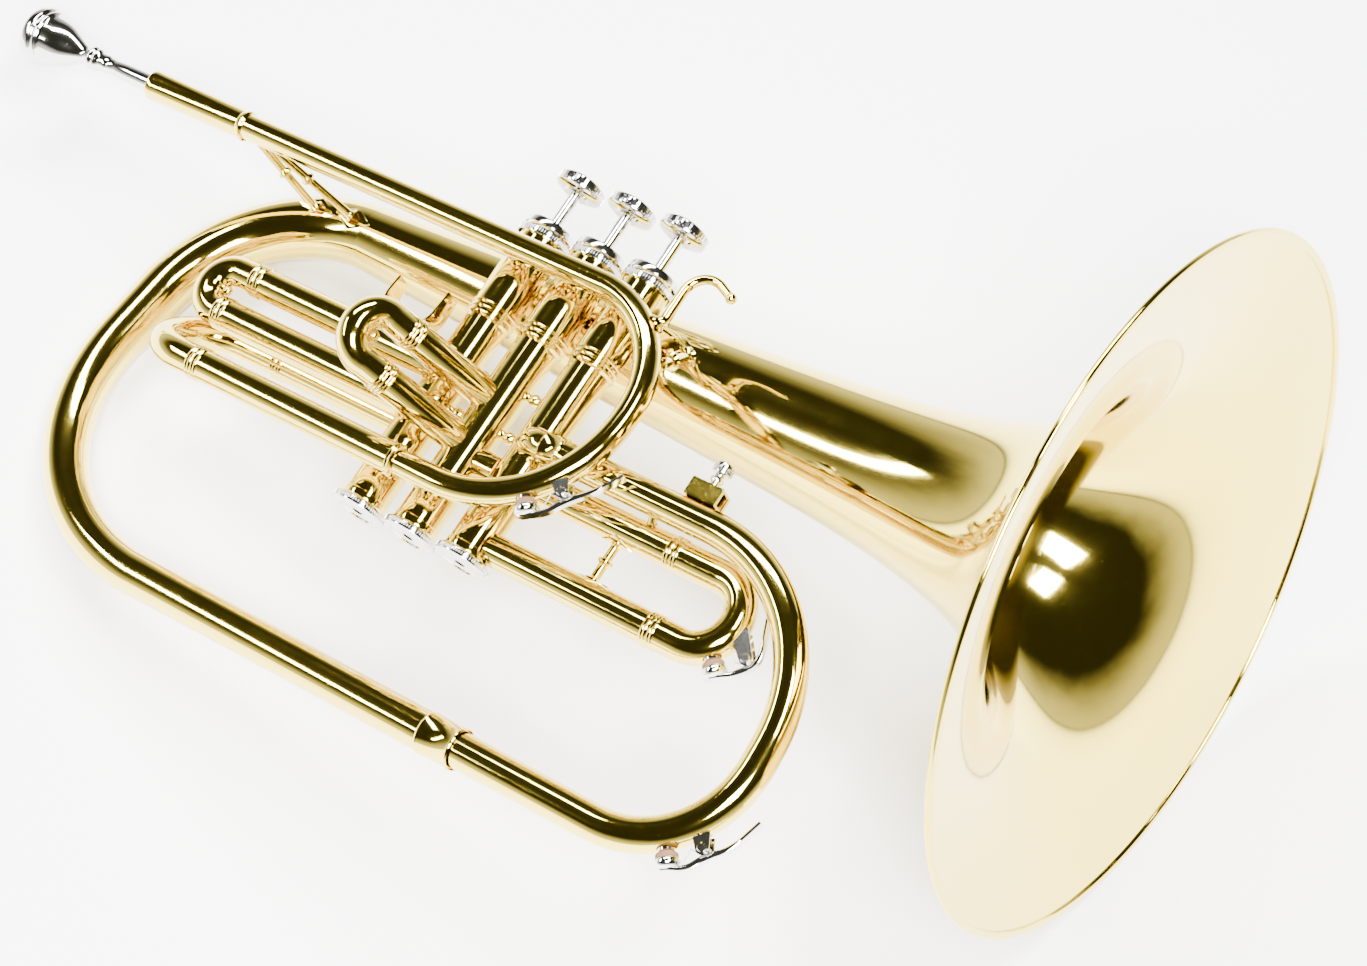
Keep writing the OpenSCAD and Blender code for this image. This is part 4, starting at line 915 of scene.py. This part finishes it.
class HORN_OT_water_keys(PieceOperator, bpy.types.Operator):
    """Makes the saddles, corks, levers and springs of the water keys."""
    bl_idname = "horn.water_keys"
    bl_label = "Water keys"

    def make(self):
        saddles = {"horn": [], "third_slide": []}
        springs = {"horn": [], "third_slide": []}
        for number, (cx, cy, cz, bend, tube, angle, x, stand, tip, body) in enumerate(KEYS, 1):
            place = (Matrix.Translation((cx, cy, cz)) @ Matrix.Rotation(math.radians(90 - angle), 4, "Y")
                     @ Matrix.Rotation(math.pi, 4, "Z"))
            skin = bend + tube
            z = math.sqrt(skin ** 2 - x ** 2) + stand
            seat = skin + 2.5
            cup = seat + 1.3
            nipple = [(1.3, -0.8), (3.4, -0.8), (3.3, 0.2), (2.6, 0.8), (2.6, 2.3), (2.4, 2.5), (1.3, 2.5)]
            foot = math.sqrt(skin ** 2 - (x + 3) ** 2) - 0.4
            parts = [solid([(nipple, Vector((0, 0, skin)), UP, 36)])]
            parts += [cheek(x, foot, z, side) for side in (-1, 1)]
            pin = [(0, 0), (1.5, 0), (1.8, 0.25), (1.8, 0.6), (1.4, 0.9), (0.98, 0.9), (0.98, 8.3),
                   (0.7, 8.7), (0, 8.7)]
            parts.append(solid([(pin, Vector((x, 4.4, z)), RIGHT, 32)]))
            saddles[body] += [transformed(part, place) for part in parts]
            cork = [(2.7, -1.5), (4.0, -1.5), (4.25, -1.1), (4.3, 0.4), (4.1, 2.15), (0, 2.15),
                    (0, 0.02), (2.7, 0.02)]
            pad = transformed(solid([(cork, Vector((0, 0, seat)), UP, 48)]), place)
            finish_piece(f"cork_pad_{number}", [pad], f"water_key_{number}", "cork", [f"key_cork_{number}"])
            dome = [(4.35, -0.3), (4.7, -0.3), (4.95, 0), (4.95, 1.5), (4.6, 2.4), (3.6, 3.0),
                    (2.0, 3.3), (0, 3.4), (0, 0.95), (4.35, 0.95)]
            barrel = [(1.06, -1.5), (1.9, -1.5), (2.2, -1.2), (2.2, 1.2), (1.9, 1.5), (1.06, 1.5)]
            top = max(cup + 3, z + 1.8)
            line = smooth_profile([(-2.5, cup + 2.9), (0.5, cup + 3.1), (x * 0.5, top + 1.2), (x, z + 2.6),
                                   (x + tip[0] * 0.45, z + 2.4 + tip[1] * 0.15),
                                   (x + tip[0] * 0.8, z + 1.2 + tip[1] * 0.7),
                                   (x + tip[0], z + 0.4 + tip[1])], 3)
            spread = along([Vector((px, 0, pz)) for px, pz in line])
            widths = [3.0 + 1.7 * max(0.0, t - 0.55) / 0.45 + 0.9 * max(0.0, 0.25 - t) / 0.25 for t in spread]
            widths[0], widths[-1] = 2.6, 3.4
            depths = [1.3 + 1.3 * max(0.0, 1 - abs(t - 0.42) / 0.36) for t in spread]
            lever = [solid([(dome, Vector((0, 0, cup)), UP, 48), (barrel, Vector((x, 0, z)), RIGHT, 32)]),
                     strap(line, widths, depths)]
            finish_piece(f"lever_strip_{number}", [transformed(part, place) for part in lever],
                         f"water_key_{number}", "plate", [f"key_lever_{number}"], 40)
            coil = [Vector((x + 2.05 * math.sin(a), 2.15, z - 2.05 * math.cos(a)))
                    for a in [math.tau * 1.6 * k / 26 for k in range(27)]]
            coil += [Vector((x - 4.5, 1.6, z - 1.0)), Vector((x * 0.4, 0.8, cup + 2.6))]
            springs[body].append(transformed(tubes([(coil, 0.28)], "wire"), place))
        stands_for = {"horn": ["key_saddles", "key_pins"],
                      "third_slide": ["third_key_saddle", "third_key_pin"]}
        for body, names in stands_for.items():
            finish_piece(f"{body}_key_posts", saddles[body], body, "plate", names)
            finish_piece(f"{body}_key_springs", springs[body], body, "wire")


class HORN_OT_kept_nodes(PieceOperator, bpy.types.Operator):
    """Gives the frame's own pieces that stay visible their finishes."""
    bl_idname = "horn.kept_nodes"
    bl_label = "Finishes of kept pieces"

    def make(self):
        slots = {part["node"]: part["material_slot"] for part in frame["record"]["subparts"]}
        by_slot = {slot: finish for finish, slot in SLOTS.items()}
        for name, obj in frame["nodes"].items():
            finish = shop()["finish"][by_slot[slots[name]]]
            if not obj.material_slots:
                raise RuntimeError(f"{name} has no material slot")
            for slot in obj.material_slots:
                slot.link = "OBJECT"
                slot.material = finish


class HORN_OT_stage(PieceOperator, bpy.types.Operator):
    """Sets the pale table, the soft light round it and the camera."""
    bl_idname = "horn.stage"
    bl_label = "Table, light and camera"

    def make(self):
        bm = bmesh.new()
        bmesh.ops.create_grid(bm, x_segments=8, y_segments=8, size=4.0)
        for vert in bm.verts:
            vert.co.z = -0.0004
        mesh = bpy.data.meshes.new("table_top")
        bm.to_mesh(mesh)
        bm.free()
        table = bpy.data.objects.new("table_top", mesh)
        bpy.context.collection.objects.link(table)
        f = Finish(bpy.data.materials.new("Matt white board"))
        pale = bpy.context.scene.horn_finishes.table
        mesh.materials.append(f.shade(Base_Color=f.mix(f.noise(3.0) * 0.4, pale, [c * 0.97 for c in pale]),
                                      Roughness=0.7 + f.noise(40.0) * 0.1, Specular_IOR_Level=0.3))
        turn = HORN.to_3x3() * 1000.0
        right, down, ahead = (turn @ Vector(v) for v in (
            (0.7927, 0.2917, 0.5353), (0.3755, 0.4581, -0.8057), (-0.4803, 0.8397, 0.2536)))
        data = bpy.data.cameras.new("camera")
        data.lens, data.sensor_width = 89.99, 36.0
        data.clip_start, data.clip_end = 0.05, 20.0
        camera = bpy.data.objects.new("camera", data)
        bpy.context.collection.objects.link(camera)
        turned = Matrix((right.normalized(), (-down).normalized(), (-ahead).normalized())).transposed()
        place = turned.to_4x4()
        place.translation = HORN @ Vector((731.2, -1078.8, -319.9))
        camera.matrix_world = place
        bpy.context.scene.camera = camera
        world = bpy.data.worlds.new("studio")
        bpy.context.scene.world = world
        f = Finish(world)
        cloud = f.node("ShaderNodeTexNoise", sockets={"Scale": 2.6, "Detail": 3.0})
        way = f.node("ShaderNodeTexCoord", output=0)
        height = f.node("ShaderNodeVectorMath", {"operation": "DOT_PRODUCT"},
                        {0: way, 1: (0.0, 0.0, 1.0)}, output=1)
        wall = f.node("ShaderNodeMapRange", {"interpolation_type": "SMOOTHSTEP"}, {
            "Value": height + cloud * 0.25, "From Min": 0.08, "From Max": 0.55, "To Min": 1.0, "To Max": 0.0})
        lit = f.node("ShaderNodeBackground", sockets={
            "Color": f.mix(wall, (0.022, 0.022, 0.014), (1.0, 0.99, 0.93)), "Strength": 1.6})
        f.node("ShaderNodeOutputWorld", sockets={"Surface": lit})
        middle = (CAD_BOX[0] + CAD_BOX[1]) / 2
        for name, offset, wide, tall, power in (("window", (0.62, -0.9, 1.6), 0.75, 0.6, 200.0),
                                                ("high_panel", (-0.9, 0.9, 1.7), 1.8, 0.4, 190.0),
                                                ("valve_panel", (0.5, 0.12, 1.62), 0.62, 0.3, 75.0),
                                                ("low_strip", (-1.5, -0.7, 0.9), 1.2, 0.16, 45.0)):
            light = bpy.data.lights.new(name, "AREA")
            light.shape, light.size, light.size_y, light.energy = "RECTANGLE", wide, tall, power
            lamp = bpy.data.objects.new(name, light)
            bpy.context.collection.objects.link(lamp)
            lamp.location = middle + Vector(offset)
            lamp.rotation_mode = "QUATERNION"
            lamp.rotation_quaternion = Vector(offset).to_track_quat("Z", "Y")


class HORN_PT_panel(bpy.types.Panel):
    """Lists the horn's sizes, finishes and building steps."""
    bl_idname = "HORN_PT_panel"
    bl_label = "Marching mellophone"
    bl_space_type = "VIEW_3D"
    bl_region_type = "UI"
    bl_category = "Mellophone"

    def draw(self, context):
        for group in (context.scene.horn_sizes, context.scene.horn_finishes):
            for name in group.bl_rna.properties.keys():
                if name not in ("rna_type", "name"):
                    self.layout.prop(group, name)
        for operator in STEPS:
            self.layout.operator(operator.bl_idname)


STEPS = (HORN_OT_stage, HORN_OT_kept_nodes, HORN_OT_bell, HORN_OT_big_loop, HORN_OT_mouthpipe, HORN_OT_slides,
         HORN_OT_valve_block, HORN_OT_valve_action, HORN_OT_fittings, HORN_OT_water_keys)
CLASSES = (HornSizes, HornFinishes, *STEPS, HORN_PT_panel)


def register():
    for cls in CLASSES:
        bpy.utils.register_class(cls)
    bpy.types.Scene.horn_sizes = bpy.props.PointerProperty(type=HornSizes)
    bpy.types.Scene.horn_finishes = bpy.props.PointerProperty(type=HornFinishes)


def unregister():
    del bpy.types.Scene.horn_finishes
    del bpy.types.Scene.horn_sizes
    for cls in reversed(CLASSES):
        bpy.utils.unregister_class(cls)


def main():
    """Registers the add-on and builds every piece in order."""
    register()
    for step in STEPS:
        group, name = step.bl_idname.split(".")
        getattr(getattr(bpy.ops, group), name)()


if __name__ == "__main__":
    main()
